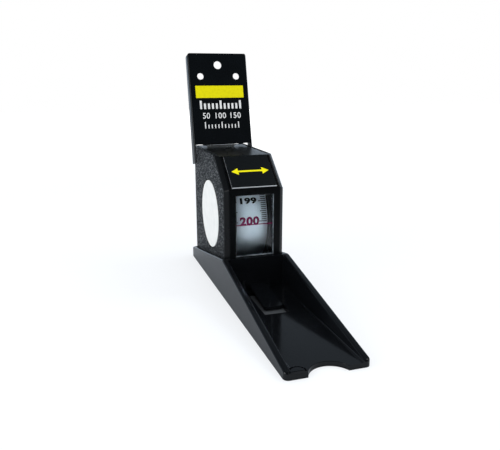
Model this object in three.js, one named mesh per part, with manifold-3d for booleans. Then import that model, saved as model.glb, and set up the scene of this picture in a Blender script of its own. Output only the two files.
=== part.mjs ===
// A wall stadiometer: a pocket-sized case with a wound height tape, standing on its headboard.
// Lengths are in millimetres. X is the width, +Y points back towards the wall, +Z is up.
// The origin is on the headboard's flat measuring face, below the middle of the case's rear plane.

import * as THREE from "three";
import { mergeVertices } from "three/addons/utils/BufferGeometryUtils.js";
import Module from "manifold-3d";

const wasm = await Module();
wasm.setup();

// Gaps and cutting allowances shared by every piece.
const fitGap = 0.3;
const cutOverrun = 5;

// Case: a box with a flat top, an upright front and a sloping label face between them.
const caseWidth = 29.6;
const caseDepth = 64.6;
const caseHeight = 62.7;
const slopeRun = 16.4;
const slopeDrop = 13.6;
const sideWall = 1.6;
const rearWall = 1.4;
const baseWall = 1.6;
const coverWall = 2.6;
const coverChamfer = 2.1;

// Window in the front of the case, and the clear lens behind it.
const windowWidth = 19;
const windowHeight = 30;
const lensThickness = 0.8;
const lensBorder = 1.2;
const lensLedge = 1.2;

// Raised plate on the sloping face.
const labelWidth = 22.4;
const labelLowerMargin = 1.1;
const labelUpperMargin = 0.6;
const labelRecess = 0.7;
const labelProud = 0.5;

// Plain round discs set into both sides.
const discRadius = 17.8;
const discThickness = 0.5;

// Drum axis, seen from the case's rear plane and its underside.
const drumFromRear = 33.8;
const drumFromBase = 31;
const axleRadius = 2.2;
const axleBossRadius = 4.6;
const washerThickness = 0.8;
const washerRadius = 4.4;

// Drum: a hollow core with a flange at the left, closed by a cap at the right.
const drumCoreRadius = 17;
const drumCoreWall = 1.8;
const drumFlangeRadius = 27.3;
const drumFlangeThickness = 1.2;
const drumHubRadius = 4.4;
const drumHubLength = 2.4;

// Tape: printed height scale, wound with its outer layer over a plain core.
const tapeWidth = 16;
const tapeThickness = 0.5;
const coilRadius = 26;
const coilPitch = 1;
const coilOverlapTurnShare = 0.08;
const tapeFromRear = 2.2;
const tapeBendBelowTop = 3;
const slotSideGap = 0.6;
const slotFrontGap = 0.6;

// Power spring inside the drum.
const springTurns = 6;
const springThickness = 0.6;
const springSideGap = 1;

// Screws and their posts.
const postRadius = 2.6;
const postFromWall = 1.6;
const rearPostFromTape = 6;
const screwRadius = 1.1;
const screwHeadRadius = 2;
const screwHeadDepth = 1.2;
const screwTipDepth = 10;
const screwBoreGap = 0.3;

// Headboard: a tray whose side walls rise to a cross wall in front of the case.
const headWidth = 34;
const headRearFlare = 0.4;
const headReach = 148.6;
const headFloor = 2;
const headFrontWall = 2.9;
const headCrossWall = 1.9;
const headRearWall = 1.4;
const headPeakHeight = 18;
const headRearHeight = 5.2;
const headTipHeight = 2.9;
const headRearCorner = 2.4;
const headTipCorner = 1.6;
const notchWidth = 16;
const notchDepth = 5.5;
const toeBossRadius = 3.6;
const toeBossRise = 0.9;
const toeBossFromSide = 5;
const floorWindowWidth = 12.4;
const floorWindowLength = 27;
const floorWindowFromCrossWall = 3.8;
const latchWidth = 8.2;
const latchLength = 23.7;
const latchThickness = 1.6;
const latchRootRise = 3.2;
const latchTipRise = 0.6;
const latchTipRound = 1.4;
const ribThickness = 1;
const ribRun = 3.4;
const ribRise = 4.5;

// Wall bracket: folded sheet, built upright on its feet and then leaned back.
const bracketWidth = 33.8;
const sheet = 1;
const bendRadius = 1.3;
const plateHeight = 50.3;
const plateCorner = 1.6;
const flangeFootDepth = 6.8;
const flangeTopDepth = 4.6;
const flangeBelowFoot = 9.8;
const footAboveCase = 1.2;
const footFromRear = 8.48;
const bracketLean = THREE.MathUtils.degToRad(13.8);
const topHoleRadius = 2.5;
const topHoleBelowEdge = 6.4;
const sideHoleRadius = 2.05;
const sideHoleSpacing = 20.4;
const sideHoleBelowEdge = 12.6;
const holeDish = 0.9;
const holeDishDepth = 0.4;
const footNotchWidth = 17.8;
const footNotchHeight = 1.1;
const footWidth = 2.3;
const footReliefHeight = 1.9;

// Clamp that holds the tape's end against the back of the bracket plate.
const clampWidth = 19;
const clampHeight = 9;
const clampThickness = 1.2;
const studRadius = 1.2;
const studEdgeBand = 0.5;
const studHeadRadius = 2;
const studHeadThickness = 0.8;

// Facets round a full circle.
const smallFacets = 24;
const largeFacets = 64;
const spiralFacets = 48;
const springFacets = 20;
const bendFacets = 4;

// Places worked out from the sizes above.
const caseHalf = caseWidth / 2;
const caseBottom = headFloor + fitGap;
const caseTop = caseBottom + caseHeight;
const caseFront = -caseDepth;
const slopeBottom = new THREE.Vector2(caseFront, caseTop - slopeDrop);
const slopeTop = new THREE.Vector2(caseFront + slopeRun, caseTop);
const slopeLength = slopeTop.distanceTo(slopeBottom);
const slopeTurn = -Math.atan2(slopeRun, slopeDrop);
const sideInner = caseHalf - sideWall;
const axis = new THREE.Vector2(-drumFromRear, caseBottom + drumFromBase);
const tapeHalf = tapeWidth / 2;
const tapeY = -tapeFromRear;
const flangeInner = tapeHalf + fitGap;
const drumOuter = flangeInner + drumFlangeThickness;
const capInner = flangeInner + fitGap;
const capOuter = capInner + drumFlangeThickness;
const washerLeft = -drumOuter - fitGap;
const washerRight = capOuter + fitGap;
const headHalf = headWidth / 2;
const headRear = fitGap + headRearWall;
const bayHalf = caseHalf + fitGap;
const bayFront = caseFront - fitGap;
const crossFront = bayFront - headCrossWall;
const footZ = caseTop + footAboveCase;
const footY = -footFromRear;

// Closed three.js geometry to solid and back.
function toSolid(geometry) {
  const bare = geometry.clone();
  bare.deleteAttribute("normal");
  bare.deleteAttribute("uv");
  const merged = mergeVertices(bare);
  return new wasm.Manifold(new wasm.Mesh({
    numProp: 3,
    vertProperties: new Float32Array(merged.attributes.position.array),
    triVerts: new Uint32Array(merged.index.array),
  }));
}

function toGeometry(body) {
  const mesh = body.getMesh();
  const geometry = new THREE.BufferGeometry();
  geometry.setAttribute("position", new THREE.BufferAttribute(mesh.vertProperties, 3));
  geometry.setIndex(new THREE.BufferAttribute(mesh.triVerts, 1));
  return geometry;
}

// Prisms: an outline pushed along one axis, between two places on it.
const alongX = new THREE.Matrix4().makeBasis(
  new THREE.Vector3(0, 1, 0),
  new THREE.Vector3(0, 0, 1),
  new THREE.Vector3(1, 0, 0),
);

function prism(outline, from, to, facing = null) {
  const shape = outline instanceof THREE.Shape ? outline : new THREE.Shape(outline);
  const geometry = new THREE.ExtrudeGeometry(shape, {
    depth: to - from,
    bevelEnabled: false,
    curveSegments: bendFacets,
  });
  geometry.translate(0, 0, from);
  if (facing) geometry.applyMatrix4(facing);
  return toSolid(geometry);
}

const prismX = (outline, from, to) => prism(outline, from, to, alongX);
const prismZ = (outline, from, to) => prism(outline, from, to);

function block(x0, x1, y0, y1, z0, z1) {
  const geometry = new THREE.BoxGeometry(x1 - x0, y1 - y0, z1 - z0);
  geometry.translate((x0 + x1) / 2, (y0 + y1) / 2, (z0 + z1) / 2);
  return toSolid(geometry);
}

// A round bar along X, centred on a point of the YZ plane.
function roundX(centre, radius, from, to, facets = smallFacets, endRadius = radius) {
  const geometry = new THREE.CylinderGeometry(endRadius, radius, to - from, facets);
  geometry.rotateZ(-Math.PI / 2);
  geometry.translate((from + to) / 2, centre.x, centre.y);
  return toSolid(geometry);
}

// A round bar along Y, centred on a point of the XZ plane.
function roundY(x, z, radius, from, to, endRadius = radius) {
  const geometry = new THREE.CylinderGeometry(endRadius, radius, to - from, smallFacets);
  geometry.translate(x, (from + to) / 2, z);
  return toSolid(geometry);
}

function circle(x, y, radius, facets = smallFacets) {
  return Array.from({ length: facets }, (unused, i) => {
    const turn = 2 * Math.PI * i / facets;
    return new THREE.Vector2(x + radius * Math.cos(turn), y + radius * Math.sin(turn));
  });
}

// The point where two lines meet, each given by a point and a direction.
function meet(pointA, alongA, pointB, alongB) {
  const between = pointB.clone().sub(pointA);
  const share = between.cross(alongB) / alongA.cross(alongB);
  return pointA.clone().addScaledVector(alongA, share);
}

// Materials.
function finish(color, roughness, metalness = 0, opacity = 1) {
  return new THREE.MeshStandardMaterial({ color, roughness, metalness, opacity, transparent: opacity < 1 });
}
const texturedAbs = finish(0x2b2e30, 0.75);
const glossAbs = finish(0x1b1d1f, 0.3);
const satinAbs = finish(0x202326, 0.45);
const blackEnamel = finish(0x15191a, 0.35);
const whitePlastic = finish(0xf2f6f6, 0.5);
const tapeVinyl = finish(0xe4ebee, 0.45);
const greyPlastic = finish(0x8a8f92, 0.5);
const clearAcrylic = finish(0xe8f2f4, 0.08, 0, 0.3);
const labelVinyl = finish(0x2a2d30, 0.4);
const steel = finish(0xb8bcc0, 0.3, 1);
const springSteel = finish(0x6a6d70, 0.35, 1);

const stadiometer = new THREE.Group();
stadiometer.name = "stadiometer";

function add(name, body, material, parent = stadiometer) {
  const mesh = new THREE.Mesh(toGeometry(body), material);
  mesh.name = name;
  parent.add(mesh);
  return mesh;
}

// Side view of the case with its front and slope moved inwards by some distance.
const slopeAlong = slopeTop.clone().sub(slopeBottom).normalize();
const slopeInward = new THREE.Vector2(slopeAlong.y, -slopeAlong.x);
const upward = new THREE.Vector2(0, 1);
const rearward = new THREE.Vector2(1, 0);

function caseOutline(inset) {
  const front = new THREE.Vector2(caseFront + inset, caseBottom);
  const onSlope = slopeBottom.clone().addScaledVector(slopeInward, inset);
  return [
    new THREE.Vector2(0, caseBottom),
    new THREE.Vector2(0, caseTop),
    meet(onSlope, slopeAlong, new THREE.Vector2(0, caseTop), rearward),
    meet(front, upward, onSlope, slopeAlong),
    front,
  ];
}

// Screw posts stand clear of the drum: two at the foot, one behind the top.
const postInset = postRadius + postFromWall;
const postPlaces = [
  new THREE.Vector2(caseFront + coverWall + postInset, caseBottom + baseWall + postInset),
  new THREE.Vector2(-rearWall - postInset, caseBottom + baseWall + postInset),
  new THREE.Vector2(tapeY - rearPostFromTape - postRadius, caseTop - coverWall - postInset),
];

// Half of the textured housing: side plate, half of the rear and base walls, axle boss and posts.
function halfShell(side) {
  const outer = side * caseHalf;
  const inner = side * sideInner;
  const seam = side * fitGap / 2;
  const order = (a, b) => [Math.min(a, b), Math.max(a, b)];
  let body = prismX(caseOutline(coverWall + fitGap), ...order(outer, inner));
  const joined = inner + side * sideWall / 2;
  body = body.add(block(...order(joined, seam), -rearWall, 0, caseBottom, caseTop));
  const baseFront = caseFront + coverWall + fitGap;
  body = body.add(block(...order(joined, seam), baseFront, 0, caseBottom, caseBottom + baseWall));
  const washerFace = side < 0 ? washerLeft - washerThickness : washerRight + washerThickness;
  const bossEnd = washerFace + side * fitGap;
  body = body.add(roundX(axis, axleBossRadius, ...order(joined, bossEnd), largeFacets));
  for (const place of postPlaces) {
    body = body.add(roundX(place, postRadius, ...order(joined, seam)));
  }
  const socketEnd = bossEnd - side * cutOverrun;
  body = body.subtract(roundX(axis, axleRadius + fitGap, ...order(inner, socketEnd)));
  const discFloor = outer - side * (discThickness + fitGap);
  body = body.subtract(
    roundX(axis, discRadius + fitGap, ...order(outer + side * cutOverrun, discFloor), largeFacets),
  );
  return body;
}

let leftShell = halfShell(-1);
let rightShell = halfShell(1);
for (const place of postPlaces) {
  const boreRadius = screwRadius + screwBoreGap;
  leftShell = leftShell.subtract(roundX(place, boreRadius, -screwTipDepth - fitGap, cutOverrun));
  rightShell = rightShell.subtract(roundX(place, boreRadius, -cutOverrun, caseHalf + cutOverrun));
  rightShell = rightShell.subtract(
    roundX(place, screwHeadRadius + fitGap, caseHalf - screwHeadDepth - fitGap, caseHalf + cutOverrun),
  );
}
add("left_shell", leftShell, texturedAbs);
add("right_shell", rightShell, texturedAbs);

// Glossy cover: front, slope and top in one piece, with chamfered edges and the window.
const coverInside = caseOutline(coverWall);
const roof = new THREE.Vector2(-rearWall - fitGap, caseTop - coverWall);
const coverFoot = new THREE.Vector2(caseFront + coverWall, caseBottom);
const underSlope = slopeBottom.clone().addScaledVector(slopeInward, coverWall);
const coverSection = [
  new THREE.Vector2(caseFront, caseBottom),
  coverFoot,
  meet(coverFoot, upward, underSlope, slopeAlong),
  meet(underSlope, slopeAlong, roof, rearward),
  roof,
  new THREE.Vector2(roof.x, caseTop),
  slopeTop,
  slopeBottom,
];
let cover = prismX(coverSection, -caseHalf, caseHalf);

// Matrix of the sloping face: its local Y points into the case and its local Z climbs the slope.
const slopeFrame = new THREE.Matrix4()
  .makeTranslation(0, slopeBottom.x, slopeBottom.y)
  .multiply(new THREE.Matrix4().makeRotationX(slopeTurn));
const frontFrame = new THREE.Matrix4().makeTranslation(0, caseFront, caseBottom);

for (const side of [-1, 1]) {
  const edge = side * caseHalf;
  const corner = [
    new THREE.Vector2(edge - side * (coverChamfer + cutOverrun), -cutOverrun),
    new THREE.Vector2(edge + side * cutOverrun, coverChamfer + cutOverrun),
    new THREE.Vector2(edge + side * cutOverrun, -cutOverrun),
  ];
  for (const [frame, reach] of [[frontFrame, caseHeight], [slopeFrame, slopeLength]]) {
    const cutter = new THREE.ExtrudeGeometry(new THREE.Shape(corner), {
      depth: reach + 2 * cutOverrun,
      bevelEnabled: false,
    });
    cutter.translate(0, 0, -cutOverrun);
    cutter.applyMatrix4(frame);
    cover = cover.subtract(toSolid(cutter));
  }
  const reaches = [side * (sideInner - fitGap), side * (caseHalf + cutOverrun)].sort((a, b) => a - b);
  cover = cover.subtract(prismX(coverInside, ...reaches));
}
const windowHalf = windowWidth / 2;
const windowBottom = axis.y - windowHeight / 2;
const windowTop = axis.y + windowHeight / 2;
const lensFront = caseFront + lensLedge + fitGap;
const lensHalf = windowHalf + lensBorder;
cover = cover.subtract(
  block(-windowHalf, windowHalf, caseFront - cutOverrun, caseFront + coverWall + cutOverrun, windowBottom, windowTop),
);
cover = cover.subtract(
  block(
    -lensHalf, lensHalf,
    caseFront + lensLedge, caseFront + coverWall + cutOverrun,
    windowBottom - lensBorder, windowTop + lensBorder,
  ),
);
const slotHalf = tapeHalf + slotSideGap;
cover = cover.subtract(
  block(
    -slotHalf, slotHalf,
    tapeY - tapeThickness / 2 - slotFrontGap, cutOverrun,
    caseTop - coverWall - cutOverrun, caseTop + cutOverrun,
  ),
);
function slopeBlock(halfWidth, inward0, inward1, climb0, climb1) {
  const geometry = new THREE.BoxGeometry(2 * halfWidth, inward1 - inward0, climb1 - climb0);
  geometry.translate(0, (inward0 + inward1) / 2, (climb0 + climb1) / 2);
  geometry.applyMatrix4(slopeFrame);
  return toSolid(geometry);
}
const labelHalf = labelWidth / 2;
const labelEnd = slopeLength - labelUpperMargin;
cover = cover.subtract(slopeBlock(labelHalf, -cutOverrun, labelRecess, labelLowerMargin, labelEnd));
add("front_cover", cover, glossAbs);
add(
  "label_plate",
  slopeBlock(labelHalf - fitGap, -labelProud, labelRecess - fitGap, labelLowerMargin + fitGap, labelEnd - fitGap),
  labelVinyl,
);
add(
  "window_lens",
  block(
    -lensHalf + fitGap, lensHalf - fitGap,
    lensFront, lensFront + lensThickness,
    windowBottom - lensBorder + fitGap, windowTop + lensBorder - fitGap,
  ),
  clearAcrylic,
);

// Plain side discs.
for (const [name, side] of [["left_disc", -1], ["right_disc", 1]]) {
  const reaches = [side * caseHalf, side * (caseHalf - discThickness)].sort((a, b) => a - b);
  add(name, roundX(axis, discRadius, ...reaches, largeFacets), whitePlastic);
}

// Case screws, driven from the right.
postPlaces.forEach((place, i) => {
  const headInner = caseHalf - screwHeadDepth;
  const shank = roundX(place, screwRadius, -screwTipDepth, headInner + screwHeadDepth / 2);
  add(`case_screw_${i + 1}`, shank.add(roundX(place, screwHeadRadius, headInner, caseHalf)), steel);
});

// Axle, its washers and the drum that turns on it.
const axleEnd = sideInner - fitGap;
add("axle_pin", roundX(axis, axleRadius, -axleEnd, axleEnd), steel);
const axleBore = (from, to) => roundX(axis, axleRadius + fitGap, from, to);
const washer = (from) => roundX(axis, washerRadius, from, from + washerThickness)
  .subtract(axleBore(from - cutOverrun, from + washerThickness + cutOverrun));
add("axle_washer_left", washer(washerLeft - washerThickness), steel);
add("axle_washer_right", washer(washerRight), steel);

let spool = roundX(axis, drumFlangeRadius, -drumOuter, -flangeInner, largeFacets);
spool = spool.add(roundX(axis, drumCoreRadius, -drumOuter, flangeInner, largeFacets));
spool = spool.subtract(
  roundX(axis, drumCoreRadius - drumCoreWall, -flangeInner, flangeInner + cutOverrun, largeFacets),
);
spool = spool.add(roundX(axis, drumHubRadius, -drumOuter, -flangeInner + drumHubLength));
spool = spool.subtract(axleBore(-drumOuter - cutOverrun, flangeInner + cutOverrun));
add("drum_spool", spool, greyPlastic);
const cap = roundX(axis, drumFlangeRadius, capInner, capOuter, largeFacets)
  .subtract(axleBore(capInner - cutOverrun, capOuter + cutOverrun));
add("drum_cap", cap, greyPlastic);

// A flat strip wound as one unbroken spiral round the drum axis.
// It starts at an angle and radius and goes round clockwise, seen from the left, towards the axis.
function spiralPoints(startAngle, startRadius, pitch, turns, facets) {
  const steps = Math.round(turns * facets);
  return Array.from({ length: steps + 1 }, (unused, i) => {
    const turn = i / facets;
    const angle = startAngle - 2 * Math.PI * turn;
    const radius = startRadius - pitch * turn;
    return { angle, radius, turn };
  });
}

function polar(angle, radius) {
  return new THREE.Vector2(axis.x + radius * Math.cos(angle), axis.y + radius * Math.sin(angle));
}

function spiralStrip(points, thickness, from, to) {
  const outside = points.map((p) => polar(p.angle, p.radius + thickness / 2));
  const inside = points.map((p) => polar(p.angle, p.radius - thickness / 2));
  return prismX([...outside, ...inside.reverse()], from, to);
}

// Least gap between one turn and the next, measured on points of both faces.
const nextTurnShare = 0.75;
function leastSelfGap(points, thickness) {
  let least = Infinity;
  for (const a of points) {
    for (const b of points) {
      if (b.turn - a.turn < nextTurnShare) continue;
      const inner = polar(a.angle, a.radius - thickness / 2);
      const outer = polar(b.angle, b.radius + thickness / 2);
      least = Math.min(least, inner.distanceTo(outer));
    }
  }
  return least;
}

// The tape leaves the coil at the back and bends upright just below the slot.
const coilMiddle = coilRadius - tapeThickness / 2;
const bendPoint = new THREE.Vector2(tapeY, caseTop - tapeBendBelowTop);
const toBend = bendPoint.clone().sub(axis);
const leaveAngle = toBend.angle() - Math.acos(coilMiddle / toBend.length());
const coilPoints = spiralPoints(leaveAngle, coilMiddle, coilPitch, 1 + coilOverlapTurnShare, spiralFacets);
console.log(`tape layer: least gap to itself ${leastSelfGap(coilPoints, tapeThickness).toFixed(3)} mm`);
add("tape_outer_layer", spiralStrip(coilPoints, tapeThickness, -tapeHalf, tapeHalf), tapeVinyl);
const innerEndRadius = coilMiddle - coilPitch * (1 + coilOverlapTurnShare);
const tapeCoreRadius = innerEndRadius - tapeThickness / 2 - fitGap;
const tapeCore = roundX(axis, tapeCoreRadius, -tapeHalf, tapeHalf, largeFacets).subtract(
  roundX(axis, drumCoreRadius + fitGap, -tapeHalf - cutOverrun, tapeHalf + cutOverrun, largeFacets),
);
add("tape_core", tapeCore, tapeVinyl);

// Straight run from the coil to the slot, a strip along three points. Its lower end clears the turning coil.
const leavePoint = polar(leaveAngle, coilMiddle);
const runDirection = bendPoint.clone().sub(leavePoint).normalize();
const runNormal = new THREE.Vector2(runDirection.y, -runDirection.x);
const halfTape = tapeThickness / 2;
const runStart = leavePoint.clone().addScaledVector(runDirection, fitGap);
const runFace = (side) => {
  const offset = side * halfTape;
  const low = runStart.clone().addScaledVector(runNormal, offset);
  return [
    low,
    meet(low, runDirection, new THREE.Vector2(tapeY + offset, 0), upward),
    new THREE.Vector2(tapeY + offset, caseTop - fitGap),
  ];
};
const run = prismX([...runFace(1), ...runFace(-1).reverse()], -tapeHalf, tapeHalf).subtract(
  roundX(axis, coilRadius + fitGap, -tapeHalf - cutOverrun, tapeHalf + cutOverrun, largeFacets),
);
add("tape_run", run, tapeVinyl);

// Power spring: a spiral strip from the drum's inner wall to the axle.
const springOuter = drumCoreRadius - drumCoreWall - fitGap - springThickness / 2;
const springInner = axleRadius + fitGap + springThickness / 2;
const springPitch = (springOuter - springInner) / springTurns;
const springPoints = spiralPoints(leaveAngle, springOuter, springPitch, springTurns, springFacets);
console.log(`power spring: least gap to itself ${leastSelfGap(springPoints, springThickness).toFixed(3)} mm`);
const springFrom = -flangeInner + drumHubLength + springSideGap;
const springTo = flangeInner - springSideGap;
add("power_spring", spiralStrip(springPoints, springThickness, springFrom, springTo), springSteel);

// Headboard: side outline, plan outline, then the tray, the bay for the case and the details.
const headOutline = [
  new THREE.Vector2(headRear, 0),
  new THREE.Vector2(headRear, headRearHeight),
  new THREE.Vector2(bayFront, headPeakHeight),
  new THREE.Vector2(crossFront, headPeakHeight),
  new THREE.Vector2(-headReach, headTipHeight),
  new THREE.Vector2(-headReach, 0),
];
const rearHalf = headHalf + headRearFlare;
const plan = new THREE.Shape();
plan.moveTo(-headHalf + headTipCorner, -headReach);
plan.lineTo(headHalf - headTipCorner, -headReach);
plan.quadraticCurveTo(headHalf, -headReach, headHalf, -headReach + headTipCorner);
plan.lineTo(headHalf, crossFront);
plan.lineTo(rearHalf, headRear - headRearCorner);
plan.quadraticCurveTo(rearHalf, headRear, rearHalf - headRearCorner, headRear);
plan.lineTo(-rearHalf + headRearCorner, headRear);
plan.quadraticCurveTo(-rearHalf, headRear, -rearHalf, headRear - headRearCorner);
plan.lineTo(-headHalf, crossFront);
plan.lineTo(-headHalf, -headReach + headTipCorner);
plan.quadraticCurveTo(-headHalf, -headReach, -headHalf + headTipCorner, -headReach);
let head = prismX(headOutline, -rearHalf - cutOverrun, rearHalf + cutOverrun)
  .intersect(prismZ(plan, -cutOverrun, headPeakHeight + cutOverrun));
const troughHalf = headHalf - headFrontWall;
head = head.subtract(
  block(-troughHalf, troughHalf, -headReach - cutOverrun, crossFront, headFloor, headPeakHeight + cutOverrun),
);
head = head.subtract(block(-bayHalf, bayHalf, bayFront, fitGap, headFloor, headPeakHeight + cutOverrun));
const notchRadius = (notchWidth ** 2 / 4 + notchDepth ** 2) / (2 * notchDepth);
const notchCentre = -headReach + notchDepth - notchRadius;
head = head.subtract(
  prismZ(circle(0, notchCentre, notchRadius, largeFacets), -cutOverrun, headPeakHeight),
);
const floorWindowRear = crossFront - floorWindowFromCrossWall;
const floorWindowHalf = floorWindowWidth / 2;
head = head.subtract(
  block(
    -floorWindowHalf, floorWindowHalf,
    floorWindowRear - floorWindowLength, floorWindowRear,
    -cutOverrun, headFloor + cutOverrun,
  ),
);
const latchTip = crossFront - latchLength;
const latchRoot = crossFront + headCrossWall / 2;
const latchSide = [
  new THREE.Vector2(latchRoot, latchRootRise),
  new THREE.Vector2(crossFront, latchRootRise),
  new THREE.Vector2(latchTip, latchTipRise),
  new THREE.Vector2(latchTip, latchTipRise + latchThickness),
  new THREE.Vector2(crossFront, latchRootRise + latchThickness),
  new THREE.Vector2(latchRoot, latchRootRise + latchThickness),
];
const latchHalf = latchWidth / 2;
const latchPlan = new THREE.Shape();
latchPlan.moveTo(-latchHalf, latchRoot);
latchPlan.lineTo(-latchHalf, latchTip + latchTipRound);
latchPlan.quadraticCurveTo(-latchHalf, latchTip, -latchHalf + latchTipRound, latchTip);
latchPlan.lineTo(latchHalf - latchTipRound, latchTip);
latchPlan.quadraticCurveTo(latchHalf, latchTip, latchHalf, latchTip + latchTipRound);
latchPlan.lineTo(latchHalf, latchRoot);
head = head.add(
  prismX(latchSide, -latchHalf, latchHalf).intersect(prismZ(latchPlan, 0, headPeakHeight)),
);
for (const side of [-1, 1]) {
  const ribOuter = side * (floorWindowHalf + ribThickness);
  const reaches = [side * floorWindowHalf, ribOuter].sort((a, b) => a - b);
  const rib = [
    new THREE.Vector2(latchRoot, headFloor / 2),
    new THREE.Vector2(latchRoot, headFloor + ribRise),
    new THREE.Vector2(crossFront, headFloor + ribRise),
    new THREE.Vector2(crossFront - ribRun, headFloor),
    new THREE.Vector2(crossFront - ribRun, headFloor / 2),
  ];
  head = head.add(prismX(rib, ...reaches));
}
const toeBoss = prismZ(
  circle(-headHalf + toeBossFromSide, -headReach, toeBossRadius),
  headFloor / 2,
  headFloor + toeBossRise,
).intersect(block(-headHalf, headHalf, -headReach, crossFront, 0, headPeakHeight));
head = head.add(toeBoss);
add("headboard", head, satinAbs);

// Tape above the case: a free stretch up to the bend at the bracket's clamp.
const sheetBack = sheet + fitGap;
const tailMiddle = sheetBack + halfTape;
const clampFront = sheetBack + tapeThickness + fitGap;
const cosLean = Math.cos(bracketLean);
const sinLean = Math.sin(bracketLean);
const bendHeight = (tapeY - footY - tailMiddle * cosLean) / sinLean;
const hingeZ = footZ + bendHeight * cosLean - tailMiddle * sinLean;
add(
  "tape_lead",
  block(-tapeHalf, tapeHalf, tapeY - halfTape, tapeY + halfTape, caseTop, hingeZ - fitGap),
  tapeVinyl,
);

// Wall bracket, in its own upright frame: X across, Y from the plate's front face back, Z from the feet up.
const bracket = new THREE.Group();
bracket.position.set(0, footY, footZ);
bracket.rotation.x = -bracketLean;
stadiometer.add(bracket);

const bracketHalf = bracketWidth / 2;
const innerBend = Math.max(bendRadius - sheet, bendRadius / bendFacets);
const channel = new THREE.Shape();
channel.moveTo(-bracketHalf, flangeFootDepth);
channel.lineTo(-bracketHalf, bendRadius);
channel.quadraticCurveTo(-bracketHalf, 0, -bracketHalf + bendRadius, 0);
channel.lineTo(bracketHalf - bendRadius, 0);
channel.quadraticCurveTo(bracketHalf, 0, bracketHalf, bendRadius);
channel.lineTo(bracketHalf, flangeFootDepth);
channel.lineTo(bracketHalf - sheet, flangeFootDepth);
channel.lineTo(bracketHalf - sheet, sheet + innerBend);
channel.quadraticCurveTo(bracketHalf - sheet, sheet, bracketHalf - sheet - innerBend, sheet);
channel.lineTo(-bracketHalf + sheet + innerBend, sheet);
channel.quadraticCurveTo(-bracketHalf + sheet, sheet, -bracketHalf + sheet, sheet + innerBend);
channel.lineTo(-bracketHalf + sheet, flangeFootDepth);
let folded = prismZ(channel, -flangeBelowFoot, plateHeight);

// The flanges get shallower towards the top.
const taper = [
  new THREE.Vector2(flangeFootDepth, -flangeBelowFoot),
  new THREE.Vector2(flangeTopDepth, plateHeight),
  new THREE.Vector2(flangeTopDepth, plateHeight + cutOverrun),
  new THREE.Vector2(flangeFootDepth + cutOverrun, plateHeight + cutOverrun),
  new THREE.Vector2(flangeFootDepth + cutOverrun, -flangeBelowFoot),
];
folded = folded.subtract(prismX(taper, -bracketHalf - cutOverrun, bracketHalf + cutOverrun));

// Front outline of the plate: rounded top corners, feet, a shallow notch and two corner reliefs.
const face = new THREE.Shape();
const reliefInner = footNotchWidth / 2 + footWidth;
const reliefOuter = bracketHalf - sheet;
const reliefMiddle = (reliefInner + reliefOuter) / 2;
face.moveTo(-bracketHalf, -flangeBelowFoot);
face.lineTo(-reliefOuter, -flangeBelowFoot);
face.lineTo(-reliefOuter, 0);
face.quadraticCurveTo(-reliefOuter, footReliefHeight, -reliefMiddle, footReliefHeight);
face.quadraticCurveTo(-reliefInner, footReliefHeight, -reliefInner, 0);
face.lineTo(-footNotchWidth / 2, 0);
face.lineTo(-footNotchWidth / 2, footNotchHeight);
face.lineTo(footNotchWidth / 2, footNotchHeight);
face.lineTo(footNotchWidth / 2, 0);
face.lineTo(reliefInner, 0);
face.quadraticCurveTo(reliefInner, footReliefHeight, reliefMiddle, footReliefHeight);
face.quadraticCurveTo(reliefOuter, footReliefHeight, reliefOuter, 0);
face.lineTo(reliefOuter, -flangeBelowFoot);
face.lineTo(bracketHalf, -flangeBelowFoot);
face.lineTo(bracketHalf, plateHeight - plateCorner);
face.quadraticCurveTo(bracketHalf, plateHeight, bracketHalf - plateCorner, plateHeight);
face.lineTo(-bracketHalf + plateCorner, plateHeight);
face.quadraticCurveTo(-bracketHalf, plateHeight, -bracketHalf, plateHeight - plateCorner);
const faceTurned = new THREE.Matrix4().makeRotationX(Math.PI / 2);
folded = folded.intersect(
  prism(face, -flangeFootDepth - cutOverrun, cutOverrun, faceTurned),
);

// Screw holes, each with a pressed dish at the front.
const holes = [
  [0, plateHeight - topHoleBelowEdge, topHoleRadius],
  [-sideHoleSpacing / 2, plateHeight - sideHoleBelowEdge, sideHoleRadius],
  [sideHoleSpacing / 2, plateHeight - sideHoleBelowEdge, sideHoleRadius],
];
for (const [x, z, radius] of holes) {
  folded = folded.subtract(roundY(x, z, radius, -cutOverrun, sheet + cutOverrun));
  const flare = holeDish / holeDishDepth;
  const mouth = radius + holeDish + flare * fitGap;
  folded = folded.subtract(roundY(x, z, mouth, -fitGap, holeDishDepth, radius));
}
add("wall_bracket", folded, blackEnamel, bracket);

// Clamped end of the tape, its clamp plate and two studs.
const clampFoot = bendHeight + fitGap;
const clampTop = clampFoot + clampHeight;
const studHeight = (clampFoot + clampTop) / 2;
const clampBack = clampFront + clampThickness;
let tail = block(-tapeHalf, tapeHalf, sheetBack, sheetBack + tapeThickness, clampFoot, clampTop - fitGap);
let clampPlate = block(-clampWidth / 2, clampWidth / 2, clampFront, clampBack, clampFoot, clampTop);
for (const [name, side] of [["clamp_stud_left", -1], ["clamp_stud_right", 1]]) {
  const x = side * (tapeHalf - studEdgeBand - fitGap - studRadius);
  const hole = roundY(x, studHeight, studRadius + fitGap, 0, clampBack + cutOverrun);
  tail = tail.subtract(hole);
  clampPlate = clampPlate.subtract(hole);
  const headFrom = clampBack + fitGap;
  const stud = roundY(x, studHeight, studRadius, sheet + fitGap, headFrom + studHeadThickness / 2)
    .add(roundY(x, studHeight, studHeadRadius, headFrom, headFrom + studHeadThickness));
  add(name, stud, steel, bracket);
}
add("tape_tail", tail, tapeVinyl, bracket);
add("tape_clamp", clampPlate, steel, bracket);

console.log(`bracket hinge at Y ${tapeY.toFixed(3)}, Z ${hingeZ.toFixed(3)}`);
console.log(`drum axis at Y ${axis.x.toFixed(3)}, Z ${axis.y.toFixed(3)}`);

export default stadiometer;
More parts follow.
